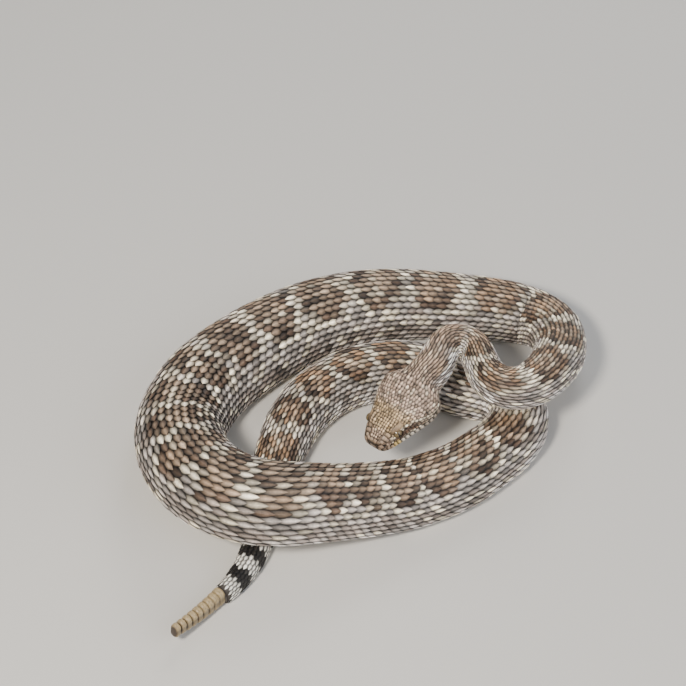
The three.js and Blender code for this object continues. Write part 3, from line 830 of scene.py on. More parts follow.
class Coat:
    """What an operator lays scales with: the snake, its sizes and colours, and chance from a fixed seed"""

    def __init__(self, context, seed):
        self.snake = the_snake()
        self.sizes, self.colours = context.scene.snake_sizes, context.scene.snake_colours
        self.rng = np.random.default_rng(SEED + seed)

    def lay(self, name, slot, kind, template, places, relief, keel=None, tone=SPREAD_OF_TONE, colour_at=0.6,
            by_point=False):
        """Joins scales into one piece. places holds the distances and the shares round of the template's
        points for each scale. Each scale has one colour, that of the coat at the share colour_at of its
        length, or with by_point the coat's own at every point."""
        (s, q), snake, rng = places, self.snake, self.rng
        a, b = template.a[None], template.b[None]
        count, size = s.shape
        keel = relief.keel if keel is None else keel
        tilt = rng.normal(0, TILT, count)[:, None] * b
        ridge = np.exp(-(b / RIDGE_HALF_WIDTH) ** 2) * np.sin(math.pi * np.clip(a * 1.04 - 0.06, 0, 1)) ** 0.6
        lift = relief.root + (relief.tip - relief.root) * a ** 0.8 + tilt + keel * ridge
        lift = lift + relief.bulge * (1 - b ** 2) * np.sin(math.pi * np.clip(a, 0, 0.9))
        lift = np.where(template.top[None], np.minimum(lift, HIGHEST), lift - relief.rim)
        points = snake.at(s, q, lift * snake.depth_at(s)).reshape(-1, 3)
        middle, root = (int(np.argmin(np.hypot(template.a - share, template.b) + ~template.top))
                        for share in (colour_at, 0))
        if by_point:
            colour = coat_colours(snake, self.colours, s, q, rng, 0).reshape(-1, 3)
        else:
            colour = np.repeat(coat_colours(snake, self.colours, s[:, middle], q[:, middle], rng), size, 0)
        own_tone = np.clip(rng.normal(TYPICAL_TONE, tone, count), 0, 1)[:, None]
        # The scale_place shares carry painted light for the material: rim darkens each scale towards its
        # sides, and each plate towards its edges and tip, as painted shade in the gaps between scales; the
        # ridge share lightens the keel as a painted highlight.
        if relief.keel:
            rim = np.abs(b) * (0.8 + relief.keel)
        else:
            rim = np.maximum(np.abs(b), 1 - (1 - a) / 0.12) ** 5
        place = np.stack(np.broadcast_arrays(own_tone, a, np.clip(rim, 0, 1), ridge * (keel > 0.01)), -1)
        patch = bake_place(s[:, root], q[:, root])[:, None] + PATCH * np.stack([a - 0.5, b * 0.5], -1)
        loops = np.tile(template.loops, count) + np.repeat(np.arange(count) * size, len(template.loops))
        layers = {
            "coat_colour": np.column_stack([colour, np.ones(count * size)]),
            "scale_place": place.reshape(-1, 4),
        }
        item = mesh_object(name, points, loops, np.tile(template.sizes, count), layers, patch.reshape(-1, 2))
        return on_body(item, keratin(kind))


# The skin's columns round the body, the steps between its rings on the head and on the body, and the depth of
# the mouth's line, in millimetres
SKIN_COLUMNS = 84
SKIN_STEPS = (0.5, 1.6)
MOUTH_GROOVE = 0.9


def walls(rings):
    """The quads between rings of points, where rings holds the points' numbers ring by ring"""
    here, ahead = rings[:-1], rings[1:]
    return np.stack([here, np.roll(here, -1, 1), np.roll(ahead, -1, 1), ahead], -1).reshape(-1, 4)


def fan(tip, ring):
    """The triangles from a tip to each side of a ring of points"""
    return [(tip, *side) for side in zip(ring, np.roll(ring, -1))]


def skin_mesh(snake, colours, rng):
    """One closed skin from the snout to the rattle, with twice as many columns on the head as on the body"""
    head_s = np.arange(-HEAD_LENGTH - SNOUT_CAP, -0.2, SKIN_STEPS[0])[:, None]
    body_s = np.append(np.arange(0, snake.length - 1, SKIN_STEPS[1]), snake.length)[:, None]
    head_q = np.linspace(-1, 1, 2 * SKIN_COLUMNS, endpoint=False)
    mouth = np.interp(head_s, snake.s, snake.mouth_q)
    typical = head_q[np.argmin(np.abs(head_q - mouth.mean()))]
    groove = np.isclose(np.abs(head_q), typical) * smooth(-MOUTH_CORNER + 0.5, -MOUTH_CORNER - 3, head_s)
    shift = (mouth - typical) * np.exp(-((np.abs(head_q) - typical) / 0.16) ** 2)
    head_s, head_q = np.broadcast_arrays(head_s, head_q + shift * np.sign(head_q))
    body_s, body_q = np.broadcast_arrays(body_s, np.linspace(-1, 1, SKIN_COLUMNS, endpoint=False))

    local = snake.to_local(snake.at(head_s, head_q, -MOUTH_GROOVE * groove))
    normals = snake.to_local(unit(snake.blended(snake.normals, head_s, head_q)), turn_only=True)
    sunk = sum(push(local, normals, form, side, False) for form in (NOSTRIL, HEAT_PIT) for side in (1, -1))
    head = snake.from_local(local + normals * sunk[..., None])
    body = snake.at(body_s, body_q)

    s, q = (np.concatenate([a.ravel(), b.ravel()]) for a, b in ((head_s, body_s), (head_q, body_q)))
    colour = coat_colours(snake, colours, s, q, rng, 0)
    # The skin is mixed towards the dark colour between the scales: painted shade in the gaps between and
    # under the scales, over the skin's own darker colour, weaker on the head and fading to none at the
    # belly's middle.
    dark = np.array(colours.between_scales[:3])
    gap_shade = (0.84 - 0.4 * smooth(0, -12, s)) * smooth(1.0, BELLY_EDGE, np.abs(q))
    colour = colour + (dark - colour) * gap_shade[:, None]
    # The points sunk into the nostrils and heat pits take the same dark colour, as painted shade in their
    # hollows.
    colour[:sunk.size][sunk.ravel() < -0.1] = dark
    colour = np.vstack([colour, colour[:1], colour[-1:]])
    points = np.vstack([head.reshape(-1, 3), body.reshape(-1, 3), head[0].mean(0), body[-1].mean(0)])

    head_rings = np.arange(sunk.size).reshape(sunk.shape)
    body_rings = sunk.size + np.arange(body_s.size).reshape(body_s.shape)
    snout_tip = len(points) - 2
    faces = [*walls(head_rings)]
    pairs = head_rings[-1].reshape(-1, 2)
    for (left, middle), (right, _), here, ahead in zip(pairs, np.roll(pairs, -1, 0), body_rings[0],
                                                       np.roll(body_rings[0], -1)):
        faces += [(left, middle, here), (middle, right, ahead, here)]
    faces += [*walls(body_rings), *fan(snout_tip, head_rings[0]), *fan(snout_tip + 1, body_rings[-1])]
    layers = {
        "coat_colour": np.column_stack([colour, np.ones(len(colour))]),
        "scale_place": np.full((len(colour), 4), 0.5),
    }
    return closed(mesh_object("skin", points, np.concatenate(faces), [len(face) for face in faces], layers))


class SnakeSizes(bpy.types.PropertyGroup):
    """The sizes that a user would change"""
    scale_overlap: FloatProperty(name="Scale overlap", default=1.55, min=1, max=2,
                                 description="Length of a back scale as a share of the step to the next")
    scale_width: FloatProperty(name="Scale width", default=1.22, min=1, max=2,
                               description="Width of a back scale as a share of the step between rows")
    keel: FloatProperty(name="Keel", default=0.28, min=0, max=0.5,
                        description="Height of the keels as a share of the scales' depth")
    rattle_rings: IntProperty(name="Rattle rings", default=9, min=1, max=20,
                              description="Rings of the rattle, the button included")
    ring_pitch: FloatProperty(name="Ring pitch", default=4.3 * MM, unit="LENGTH",
                              description="Distance from one ring of the rattle to the next")
    ring_width: FloatProperty(name="Ring width", default=8.4 * MM, unit="LENGTH",
                              description="Width of the first ring of the rattle")
    ring_height: FloatProperty(name="Ring height", default=12.6 * MM, unit="LENGTH",
                               description="Height of the first ring of the rattle")


def colour_property(name, code, description):
    return FloatVectorProperty(name=name, subtype="COLOR", size=4, min=0, max=1, default=linear(code),
                               description=description)


class SnakeColours(bpy.types.PropertyGroup):
    """The colours of the coat, the horn, the eyes and the floor"""
    coat_flank: colour_property("Flank", "#a0978f", "Lilac grey ground of the flanks")
    coat_low_flank: colour_property("Low flank", "#dfd9d3", "Whitish lowest rows of the flanks")
    coat_side_spot: colour_property("Side spot", "#75685f", "Blurred spots between the diamonds")
    coat_border: colour_property("Border", "#eaddc3", "Pale scales round the diamonds")
    coat_diamond_edge: colour_property("Diamond edge", "#4a3a2f", "Dark rim of each diamond")
    coat_diamond: colour_property("Diamond", "#8e7a66", "Brown of the diamonds")
    coat_diamond_heart: colour_property("Diamond heart", "#a28e79", "Paler middle of each diamond")
    coat_diamond_warm: colour_property("Diamond, warm", "#927152", "Warmer scales of the diamonds")
    coat_belly: colour_property("Belly", "#e2d9ca", "Cream of the belly plates")
    coat_tail_pale: colour_property("Tail, pale", "#cfcbc1", "Ash-white rings of the tail")
    coat_tail_black: colour_property("Tail, black", "#1d1a18", "Black rings of the tail")
    coat_crown: colour_property("Crown", "#a8917f", "Tan grey of the top of the head")
    coat_crown_dark: colour_property("Crown, dark flecks", "#5f4d3d", "Dark flecks on the head")
    coat_crown_pale: colour_property("Crown, pale flecks", "#c6b7a2", "Pale flecks on the head")
    coat_crown_warm: colour_property("Brows", "#a68c64", "Yellowish tan between the brows")
    coat_snout: colour_property("Snout", "#9c846d", "Tan of the snout")
    coat_face_stripe: colour_property("Face stripe", "#584436", "Dark stripe behind the eye")
    coat_lip_pale: colour_property("Lips, pale", "#d3c9b8", "Pale scales along the lips")
    coat_lip_dark: colour_property("Lips, dark", "#8b7b6c", "Dusky scales along the lips")
    coat_lip_yellow: colour_property("Lip scale", "#d8b978", "Yellowish scales under the eye")
    # Painted shade in the gaps between the scales and in the nostrils and heat pits, over the skin's own
    # darker colour
    between_scales: colour_property("Between scales", "#2b211c", "Dark skin between the scales")
    # Horn, dark is painted shade in the rattle's waists and grooves; Horn, pale is the horn's own colour on
    # the bulges
    horn_pale: colour_property("Horn, pale", "#c2ab80", "Bulges of the rattle")
    horn_dark: colour_property("Horn, dark", "#3d2e20", "Grooves of the rattle")
    iris_pale: colour_property("Iris, pale", "#a08a62", "Upper part of the iris")
    iris_dark: colour_property("Iris, dark", "#2e2118", "Lower part of the iris")
    pupil: colour_property("Pupil", "#050404", "The slit of the pupil")
    floor: colour_property("Floor", "#d9d6d0", "The studio's floor")


class SNAKE_OT_skin(bpy.types.Operator):
    """Makes the skin that the scales lie on"""
    bl_idname = "snake.skin"
    bl_label = "Skin"

    def execute(self, context):
        colours = context.scene.snake_colours
        item = skin_mesh(the_snake(), colours, np.random.default_rng(SEED))
        material = scale_material("skin_between_scales", 0.62, 0.3, 0.08, skin=True)
        on_body(item, material, FLESH)
        return {"FINISHED"}


# Plates of the head: the place along the head, the height on its side or the distance from its middle on top
# or under it, the length, the half width and the turn in degrees
SIDE_PLATES = {
    "prenasal": (51.9, 1.9, 2.5, 1.4, 0),
    "postnasal": (48.6, 2.7, 1.7, 0.9, 0),
    "canthal_front": (50.0, 4.6, 2.6, 1.1, 0),
    "loreal": (47.4, 4.7, 2.3, 0.9, 0),
    "preocular_upper": (45.1, 4.6, 2.6, 0.9, 8),
    "preocular_lower": (44.1, 2.6, 1.7, 0.55, 24),
}
TOP_PLATES = {
    "internasal_inner": (51.3, 1.2, 2.6, 1.15, 0),
    "internasal_outer": (51.1, 3.4, 2.5, 1.05, 0),
    "canthal_middle": (47.5, 5.4, 2.9, 1.5, 0),
    "canthal_rear": (44.9, 6.3, 2.7, 1.6, 0),
}
UNDER_PLATES = {
    "chin_shield": (47.1, 1.7, 6.2, 1.6, 0),
    "gular": (41.2, 1.7, 5.4, 1.6, 0),
}
# Rings of plates: the middle's place along the head and height, the radius, the number, and the length and
# half width of each plate. The brow takes the place of the upper part of the eye's ring.
EYE_RING = (EYE_AT[0], EYE_AT[2], EYE_OPENING + 0.5, 14, 1.75, 0.62)
PIT_RING = (HEAT_PIT["at"][0], HEAT_PIT["at"][2], 2.0, 8, 1.7, 0.62)
BROW_PLATE = {"length": 10.4, "half": 2.5, "at_y": 8.9}
EYE_RING_TOP = EYE_AT[2] + 0.36 * EYE_RING[2]
# How far small scales keep off the plates, in millimetres
PLATE_GAP = 0.35


class Plates:
    """The single plates of the head, as arrays with one entry for each plate of both sides"""

    def __init__(self, snake):
        rows = [(x, snake.q_of_side(x, z), *rest) for x, z, *rest in SIDE_PLATES.values()]
        rows += [(x, snake.q_of_top(x, y), *rest) for x, y, *rest in TOP_PLATES.values()]
        rows += [(x, snake.q_of_top(x, y, under=True), *rest) for x, y, *rest in UNDER_PLATES.values()]
        for middle_x, middle_z, radius, count, length, half in (EYE_RING, PIT_RING):
            for angle in 2 * math.pi * (np.arange(count) + 0.5) / count:
                x, z = middle_x + radius * math.cos(angle), middle_z + radius * math.sin(angle)
                turn = math.degrees(math.atan2(-math.cos(angle), math.sin(angle)))
                if z < EYE_RING_TOP:
                    rows.append((x, snake.q_of_side(x, z), length, half, turn))
        x, q, length, half, turn = np.array([row for row in rows for _ in (1, -1)]).T
        self.side = np.tile([1.0, -1.0], len(rows))
        self.root, self.length, self.half = -x - length / 2, length, half
        self.turn = np.radians(turn)
        self.q = q * self.side

    def points(self, snake, template):
        return spread_scales(snake, template, self.root, self.length, self.half, self.q, self.turn, self.side)

    def cover(self, snake, s, q):
        """True where one of the plates lies"""
        along_way = s[:, None] - (self.root + self.length / 2)
        across = (q[:, None] - self.q) * self.side * snake.girth_at(s)[:, None] / 2
        cos, sin = np.cos(self.turn), np.sin(self.turn)
        ahead = np.abs(cos * along_way + sin * across) < self.length / 2 + PLATE_GAP
        aside = np.abs(cos * across - sin * along_way) < self.half + PLATE_GAP
        return (ahead & aside).any(1)


def near_feature(snake, s, q):
    """True where a brow's plate, an eye, a nostril or a heat pit leaves no room for small scales"""
    local = snake.blended(snake.local, s, q)
    x, y, z = local[..., 0], np.abs(local[..., 1]), local[..., 2]
    places = np.stack([x, y, z], -1)
    aside = (np.abs(q) - snake.q_of_top(BROW["at"][0], BROW_PLATE["at_y"])) * snake.girth_at(s) / 2
    found = np.hypot((s + BROW["at"][0]) * 2 / BROW_PLATE["length"], aside / BROW_PLATE["half"]) < 0.96
    found |= np.hypot(x - EYE_AT[0], z - EYE_AT[2]) * (1 + 9 * (y < 5)) < EYE_OPENING + 0.9
    for form in (NOSTRIL, HEAT_PIT):
        found |= np.linalg.norm(places - np.array(form["at"]), axis=-1) < 2.0
    return found


def crown_rings(snake, first, last):
    """Places of the small scales of the head, on rings that hold fewer of them where the head is narrower"""
    places = steps_along(first, last, back_pitch)
    found = []
    for number, s in enumerate(places):
        edge = float(back_edge(snake, s))
        count = round(edge * float(snake.girth_at(s)) / float(along(CROWN_SPACING, s)))
        shares = (2 * np.arange(count) + 1 + number % 2) / count - 1
        found += [(s, share * edge, edge / count) for share in shares if share < 1]
    return np.array(found).T


def staggered(rows, places):
    """The row and the distance of each scale. The rows are numbered from the middle of the back, and every
    other one lies half a step further on."""
    row, step = (v.ravel() for v in np.meshgrid(np.arange(rows) - rows // 2, places))
    return row, step + (row % 2) * 0.5 * back_pitch(step)


# The length and half width of the crown's scales, as shares of the steps between them, and how much the sizes
# of single scales vary
CROWN_LENGTH, CROWN_HALF, CROWN_VARY = 1.36, 0.62, 0.07
BACK_VARY = 0.045
# The back's pieces, by where each starts and ends behind the nape
BACK_PARTS = {"scales_neck": (CROWN_END, 190), "scales_fore": (190, 420), "scales_mid": (420, 660),
              "scales_rear": (660, VENT_AT)}
# The belly plates' length and width, as shares of the step and of the belly's width
BELLY_LENGTH, BELLY_HALF = 1.35, 1.06
# The throat's step and its scales' length in millimetres, and their half width as a share of a row's
THROAT_STEP, THROAT_LENGTH, THROAT_HALF = 2.5, 3.7, 0.66


class SNAKE_OT_crown_scales(bpy.types.Operator):
    """Lays the small scales of the top and the sides of the head"""
    bl_idname = "snake.crown_scales"
    bl_label = "Crown scales"

    def execute(self, context):
        coat = Coat(context, 60)
        snake, rng = coat.snake, coat.rng
        s, q, step = crown_rings(snake, -HEAD_LENGTH + 0.4, CROWN_END + 1.5)
        clear = ~(near_feature(snake, s, q) | Plates(snake).cover(snake, s, q))
        s, q, step = s[clear], q[clear], step[clear]
        pitch, girth, count = back_pitch(s), snake.girth_at(s), len(s)
        s = s + rng.normal(0, 0.06, count) * pitch
        q = q + rng.normal(0, 0.08, count) * step
        length = CROWN_LENGTH * pitch * rng.normal(1, CROWN_VARY, count)
        half = CROWN_HALF * step * girth * rng.normal(1, CROWN_VARY, count)
        points = spread_scales(snake, SMALL, s - length / 2, length, half, q, rng.normal(0, 0.12, count))
        coat.lay("crown_scales", "head_skin", "keeled", SMALL, points, SMALL_RELIEF)
        return {"FINISHED"}


class SNAKE_OT_back_scales(bpy.types.Operator):
    """Lays the rows of keeled scales from the back of the head to the vent"""
    bl_idname = "snake.back_scales"
    bl_label = "Back scales"

    def execute(self, context):
        for number, (name, (first, last)) in enumerate(BACK_PARTS.items()):
            coat = Coat(context, number)
            snake, sizes, rng = coat.snake, coat.sizes, coat.rng
            row, step = staggered(BACK_ROWS, steps_along(CROWN_END, VENT_AT, back_pitch))
            inside = (step >= first) & (step < last)
            row, step = row[inside], step[inside]
            share, pitch, count = row / (BACK_ROWS / 2), back_pitch(step), len(step)
            spacing = back_edge(snake, step) / (BACK_ROWS / 2) * snake.girth_at(step) / 2
            lowest = smooth(10, 12, np.abs(row))
            length = pitch * sizes.scale_overlap * rng.normal(1, BACK_VARY, count)
            half = 0.5 * spacing * (sizes.scale_width + 0.14 * lowest) * rng.normal(1, BACK_VARY, count)
            keel = sizes.keel * (1 - 0.75 * lowest)[:, None]
            points = spread_scales(snake, KEELED, step - 0.35 * pitch, length, half,
                                   lambda s, share=share: share[:, None] * back_edge(snake, s),
                                   rng.normal(0, 0.05, count))
            coat.lay(name, "back_skin", "keeled", KEELED, points, KEELED_RELIEF, keel)
        return {"FINISHED"}


def lay_belly(coat):
    """One wide plate after another along the belly and the tail"""
    root = steps_along(BELLY_FROM + 3, TAIL_END - 4, back_pitch)
    pitch = back_pitch(root)
    half = belly_half(root) * coat.snake.girth_at(root) / 2
    points = spread_scales(coat.snake, BELLY, root - 0.2 * pitch, BELLY_LENGTH * pitch, half * BELLY_HALF,
                           np.ones(len(root)))
    coat.lay("belly_plates", "belly_skin", "smooth", BELLY, points, BELLY_RELIEF, tone=0.1)


def lay_throat(coat):
    """Rows of small flat scales between the lower lips and the first belly plates"""
    snake = coat.snake
    steps = steps_along(-48, 8, lambda s: THROAT_STEP)
    rows, steps, signs = (v.ravel() for v in np.meshgrid(np.arange(THROAT_ROWS), steps, (1, -1)))
    steps = steps + (rows % 2) * THROAT_STEP / 2
    share = (rows + 0.5) / THROAT_ROWS

    def throat_q(s, signs, share):
        low, high = throat_edge(snake, s), 1 - belly_half(s)
        return signs * (low + (high - low) * share)

    width = (1 - belly_half(steps) - throat_edge(snake, steps)) * snake.girth_at(steps) / 2 / THROAT_ROWS
    free = ~Plates(snake).cover(snake, steps + 1, throat_q(steps, signs, share))
    chosen = (width > 0.5) & free
    steps, signs, share, width = steps[chosen], signs[chosen, None], share[chosen, None], width[chosen]
    points = spread_scales(snake, SMALL, steps - 1, THROAT_LENGTH, THROAT_HALF * width,
                           lambda s: throat_q(s, signs, share))
    coat.lay("throat_scales", "belly_skin", "smooth", SMALL, points, SMALL_RELIEF, keel=0.0, tone=0.1)


def lay_tail(coat):
    """Rows of weakly keeled scales round the tail"""
    snake, sizes = coat.snake, coat.sizes
    row, step = staggered(TAIL_ROWS, steps_along(VENT_AT, TAIL_END - 1.5, back_pitch))
    pitch = back_pitch(step)
    half = 0.5 * sizes.scale_width * BELLY_EDGE / (TAIL_ROWS / 2) * snake.girth_at(step) / 2
    points = spread_scales(snake, KEELED, step - 0.4 * pitch, sizes.scale_overlap * pitch, half,
                           row / (TAIL_ROWS / 2) * BELLY_EDGE)
    keel = np.full((len(step), 1), 0.6 * sizes.keel)
    coat.lay("tail_scales", "tail_skin", "keeled", KEELED, points, KEELED_RELIEF, keel, tone=EVEN_TONE)


class SNAKE_OT_belly_plates(bpy.types.Operator):
    """Lays the wide plates of the belly, the throat's small scales and the scales of the tail"""
    bl_idname = "snake.belly_plates"
    bl_label = "Belly, throat and tail"

    def execute(self, context):
        coat = Coat(context, 20)
        lay_belly(coat)
        lay_throat(coat)
        lay_tail(coat)
        return {"FINISHED"}


# The lips' rows of plates: the number, the places along the head of both ends, the height, and -1 over or 1
# under the mouth. The plates in front are lower.
UPPER_LIP = (15, 54.4, 14.5, LIP_PLATE, -1)
LOWER_LIP = (16, 54.8, 14.0, CHIN_PLATE, 1)
FRONT_OF_LIPS, FRONT_SHARE = 47, 0.86


def lay_lips(coat):
    """One row of plates along each lip, longer towards the corner of the mouth"""
    snake = coat.snake
    lips = []
    for count, first, last, height, way in (UPPER_LIP, LOWER_LIP):
        number = np.arange(count)
        sizes = 1 + 0.25 * np.sin(number * 2.4) * (way > 0) + 0.5 * smooth(4, 8, number)
        edges = first + (last - first) * np.r_[0, np.cumsum(sizes)] / sizes.sum()
        for front, back in zip(edges, edges[1:]):
            middle = (front + back) / 2
            tall = height * (FRONT_SHARE if middle > FRONT_OF_LIPS else 1)
            q = float(np.interp(-middle, snake.s, snake.mouth_q))
            q += way * (tall / 2 + 0.1) * 2 / float(snake.girth_at(-middle))
            lips += [(-front, front - back, tall / 2, q), (-front, front - back, tall / 2, -q)]
    root, length, half, lip_q = np.array(lips).T
    at_middle = np.interp(root + length / 2, snake.s, snake.mouth_q)[:, None]

    def follow_mouth(s):
        return lip_q[:, None] + np.sign(lip_q)[:, None] * (np.interp(s, snake.s, snake.mouth_q) - at_middle)

    points = spread_scales(snake, PLATE, root + 0.03, length - 0.02, half, follow_mouth)
    coat.lay("lip_plates", "head_skin", "smooth", PLATE, points, FLAT_RELIEF, tone=EVEN_TONE, colour_at=0.5)


def lay_brows(coat):
    """One long shield on each brow"""
    q = coat.snake.q_of_top(BROW["at"][0], BROW_PLATE["at_y"])
    front = np.full(2, -BROW["at"][0] - BROW_PLATE["length"] / 2)
    points = spread_scales(coat.snake, SHIELD, front, BROW_PLATE["length"], BROW_PLATE["half"],
                           np.array([q, -q]), np.array([1, -1]) * BROW["turn"] * 0.6, np.array([1, -1]))
    coat.lay("brow_plates", "head_skin", "smooth", SHIELD, points, BROW_RELIEF, tone=0.05, by_point=True)


# The plates on the tip of the snout: the heights of the two ends and the half width
SNOUT_PLATES = ((2.3, MOUTH_LINE[-1][1] + 0.15, 2.5), (MOUTH_LINE[-1][1] - 0.15, -2.7, 1.9))


def lay_snout(coat):
    """The plate over the mouth and the one under it, on the flat tip of the snout"""
    fronts = []
    for top, bottom, half in SNOUT_PLATES:
        z = top + (bottom - top) * PLATE.a
        y = PLATE.b * PLATE.half * (half - 0.6 * np.abs(z - MOUTH_LINE[-1][1]) / 3.5)
        fronts.append(coat.snake.on_snout(y, z))
    points = [np.array(v) for v in zip(*fronts)]
    coat.lay("snout_plates", "head_skin", "smooth", PLATE, points, FLAT_RELIEF, tone=0.05, by_point=True)


class SNAKE_OT_head_plates(bpy.types.Operator):
    """Sets the plates of the head: lips, brows, snout, and those round the eyes, nostrils and heat pits"""
    bl_idname = "snake.head_plates"
    bl_label = "Head plates"

    def execute(self, context):
        coat = Coat(context, 40)
        lay_lips(coat)
        coat.lay("head_plates", "head_skin", "smooth", PLATE, Plates(coat.snake).points(coat.snake, PLATE),
                 FLAT_RELIEF, tone=EVEN_TONE, colour_at=0.5)
        lay_brows(coat)
        lay_snout(coat)
        return {"FINISHED"}


EYE_COLUMNS, EYE_STEPS = 48, 32


def unit_ball():
    """The points of a ball of radius 1, in rings round Z, and its faces"""
    turns = np.arange(EYE_COLUMNS) * 2 * math.pi / EYE_COLUMNS
    tilts = np.arange(1, EYE_STEPS)[:, None] * math.pi / EYE_STEPS
    x, y = np.sin(tilts) * np.cos(turns), np.sin(tilts) * np.sin(turns)
    rings = np.stack([x, y, np.cos(tilts) + 0 * turns], -1)
    index = np.arange(x.size).reshape(x.shape)
    faces = [*walls(index), *fan(x.size, index[0]), *fan(x.size + 1, index[-1])]
    return np.vstack([rings.reshape(-1, 3), (0, 0, 1), (0, 0, -1)]), faces


class SNAKE_OT_eyes(bpy.types.Operator):
    """Sets both eyes, each a ball under a clear spectacle with an upright pupil"""
    bl_idname = "snake.eyes"
    bl_label = "Eyes"

    def execute(self, context):
        snake = the_snake()
        material = eye_material(context.scene.snake_colours)
        for name, side in (("eye_left", 1), ("eye_right", -1)):
            low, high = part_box(name)
            centre, radius = (low + high) / 2, (high - low).length / 2 / math.sqrt(3)
            outward = unit(side * snake.left + 0.3 * snake.forward + 0.12 * snake.up)
            upright = unit(snake.up - outward * (snake.up @ outward))
            across = np.cross(upright, outward)
            gaze, faces = unit_ball()
            bulge = 0.93 + 0.06 * smooth(0.3, 0.95, gaze[:, 2])
            axes = np.stack([across, upright, outward])
            places = ((gaze * bulge[:, None]) @ axes * radius + np.array(centre)) / MM
            corners = [len(face) for face in faces]
            item = mesh_object(name + "_ball", places, np.concatenate(faces), corners, {"gaze": gaze})
            on_body(closed(item), material, [name])
        return {"FINISHED"}


# The rattle: each ring's half length as a share of the pitch, the angle that its line rises by, its height in
# millimetres over the tail's middle, the last ring's size as a share of the first, the rings' step as a share
# of the pitch, and the ring's waist and side groove as shares of its size
RING_OVERLAP = 0.58
RING_RISE = 0.16
RING_LIFT = 0.8
RING_END = 0.72
RING_CLOSER = 0.985
RING_WAIST, RING_GROOVE = 0.66, 0.14


def ring_mesh(sizes):
    """One loose ring of the rattle along X: a flattened bulge with a groove along both sides"""
    around, steps = 48, 18
    half = RING_OVERLAP * sizes.ring_pitch / MM
    angles = np.linspace(0, 2 * math.pi, around, endpoint=False)
    cos, sin = np.cos(angles), np.sin(angles)
    groove = 1 - RING_GROOVE * np.abs(cos) ** 12
    y = np.sign(cos) * np.abs(cos) ** 0.85 * sizes.ring_width / MM / 2 * groove
    z = np.sign(sin) * np.abs(sin) ** 0.9 * sizes.ring_height / MM / 2
    points, depth = [], []
    for x in np.linspace(-1, 1, steps):
        swell = RING_WAIST + (1 - RING_WAIST) * (1 - abs(x) ** 2.6) ** 0.5
        swell -= 0.035 * math.exp(-((x - 0.1) / 0.12) ** 2)
        points.append(np.stack([np.full(around, x * half), y * swell, z * swell], 1))
        # This share falls in the ring's waists and side grooves, where the rattle's material puts painted
        # shade into the horn's colour.
        depth.append((swell - RING_WAIST) / (1 - RING_WAIST) - 0.5 * (1 - groove) / RING_GROOVE)
    index = np.arange(steps * around).reshape(steps, around)
    faces = [(index[i, j], index[i + 1, j], index[i + 1, (j + 1) % around], index[i, (j + 1) % around])
             for i in range(steps - 1) for j in range(around)]
    faces += [tuple(index[0]), tuple(index[-1, ::-1])]
    layers = {"ring_depth": np.clip(np.concatenate(depth), 0, 1)}
    corners = [len(face) for face in faces]
    return closed(mesh_object("rattle_ring", np.vstack(points), np.concatenate(faces), corners, layers))


def rattle_tree():
    """Rings along a line that rises, each smaller than the one before"""
    tree = bpy.data.node_groups.new("rattle_rings", "GeometryNodeTree")
    sockets = {"Rings": "NodeSocketInt", "Pitch": "NodeSocketFloat", "End share": "NodeSocketFloat",
               "Rise": "NodeSocketFloat", "Ring": "NodeSocketObject", "Material": "NodeSocketMaterial"}
    for name, kind in sockets.items():
        tree.interface.new_socket(name, in_out="INPUT", socket_type=kind)
    tree.interface.new_socket("Geometry", in_out="OUTPUT", socket_type="NodeSocketGeometry")
    given = add(tree, "NodeGroupInput").outputs

    def math_node(operation, *values):
        return add(tree, "ShaderNodeMath", dict(enumerate(values)), operation=operation).outputs[0]

    line = add(tree, "GeometryNodeMeshLine", {"Count": given["Rings"], "Offset": (0.0, 0.0, 0.0)})
    number = math_node("ADD", add(tree, "GeometryNodeInputIndex").outputs[0], 0.5)
    share = math_node("DIVIDE", number, given["Rings"])
    distance = math_node("MULTIPLY", number, math_node("MULTIPLY", given["Pitch"], RING_CLOSER))
    slope = math_node("TANGENT", given["Rise"])
    height = math_node("MULTIPLY", math_node("MULTIPLY", distance, share), slope)
    place = add(tree, "ShaderNodeCombineXYZ", {0: distance, 2: height}).outputs[0]
    spread = add(tree, "GeometryNodeSetPosition", {"Geometry": line.outputs[0], "Position": place})
    pitch_down = math_node("MULTIPLY", math_node("MULTIPLY", share, given["Rise"]), -1.0)
    turn = add(tree, "ShaderNodeCombineXYZ", {1: pitch_down}).outputs[0]
    shrink = math_node("MULTIPLY", share, math_node("SUBTRACT", given["End share"], 1.0))
    size = math_node("ADD", shrink, 1.0)
    ring = add(tree, "GeometryNodeObjectInfo", {"Object": given["Ring"]}).outputs["Geometry"]
    rings = add(tree, "GeometryNodeInstanceOnPoints", {"Points": spread.outputs[0], "Instance": ring,
                                                       "Rotation": turn, "Scale": size})
    real = add(tree, "GeometryNodeRealizeInstances", {0: rings.outputs[0]})
    dressed = add(tree, "GeometryNodeSetMaterial", {"Geometry": real.outputs[0],
                                                    "Material": given["Material"]})
    add(tree, "NodeGroupOutput", {0: dressed.outputs[0]})
    return tree


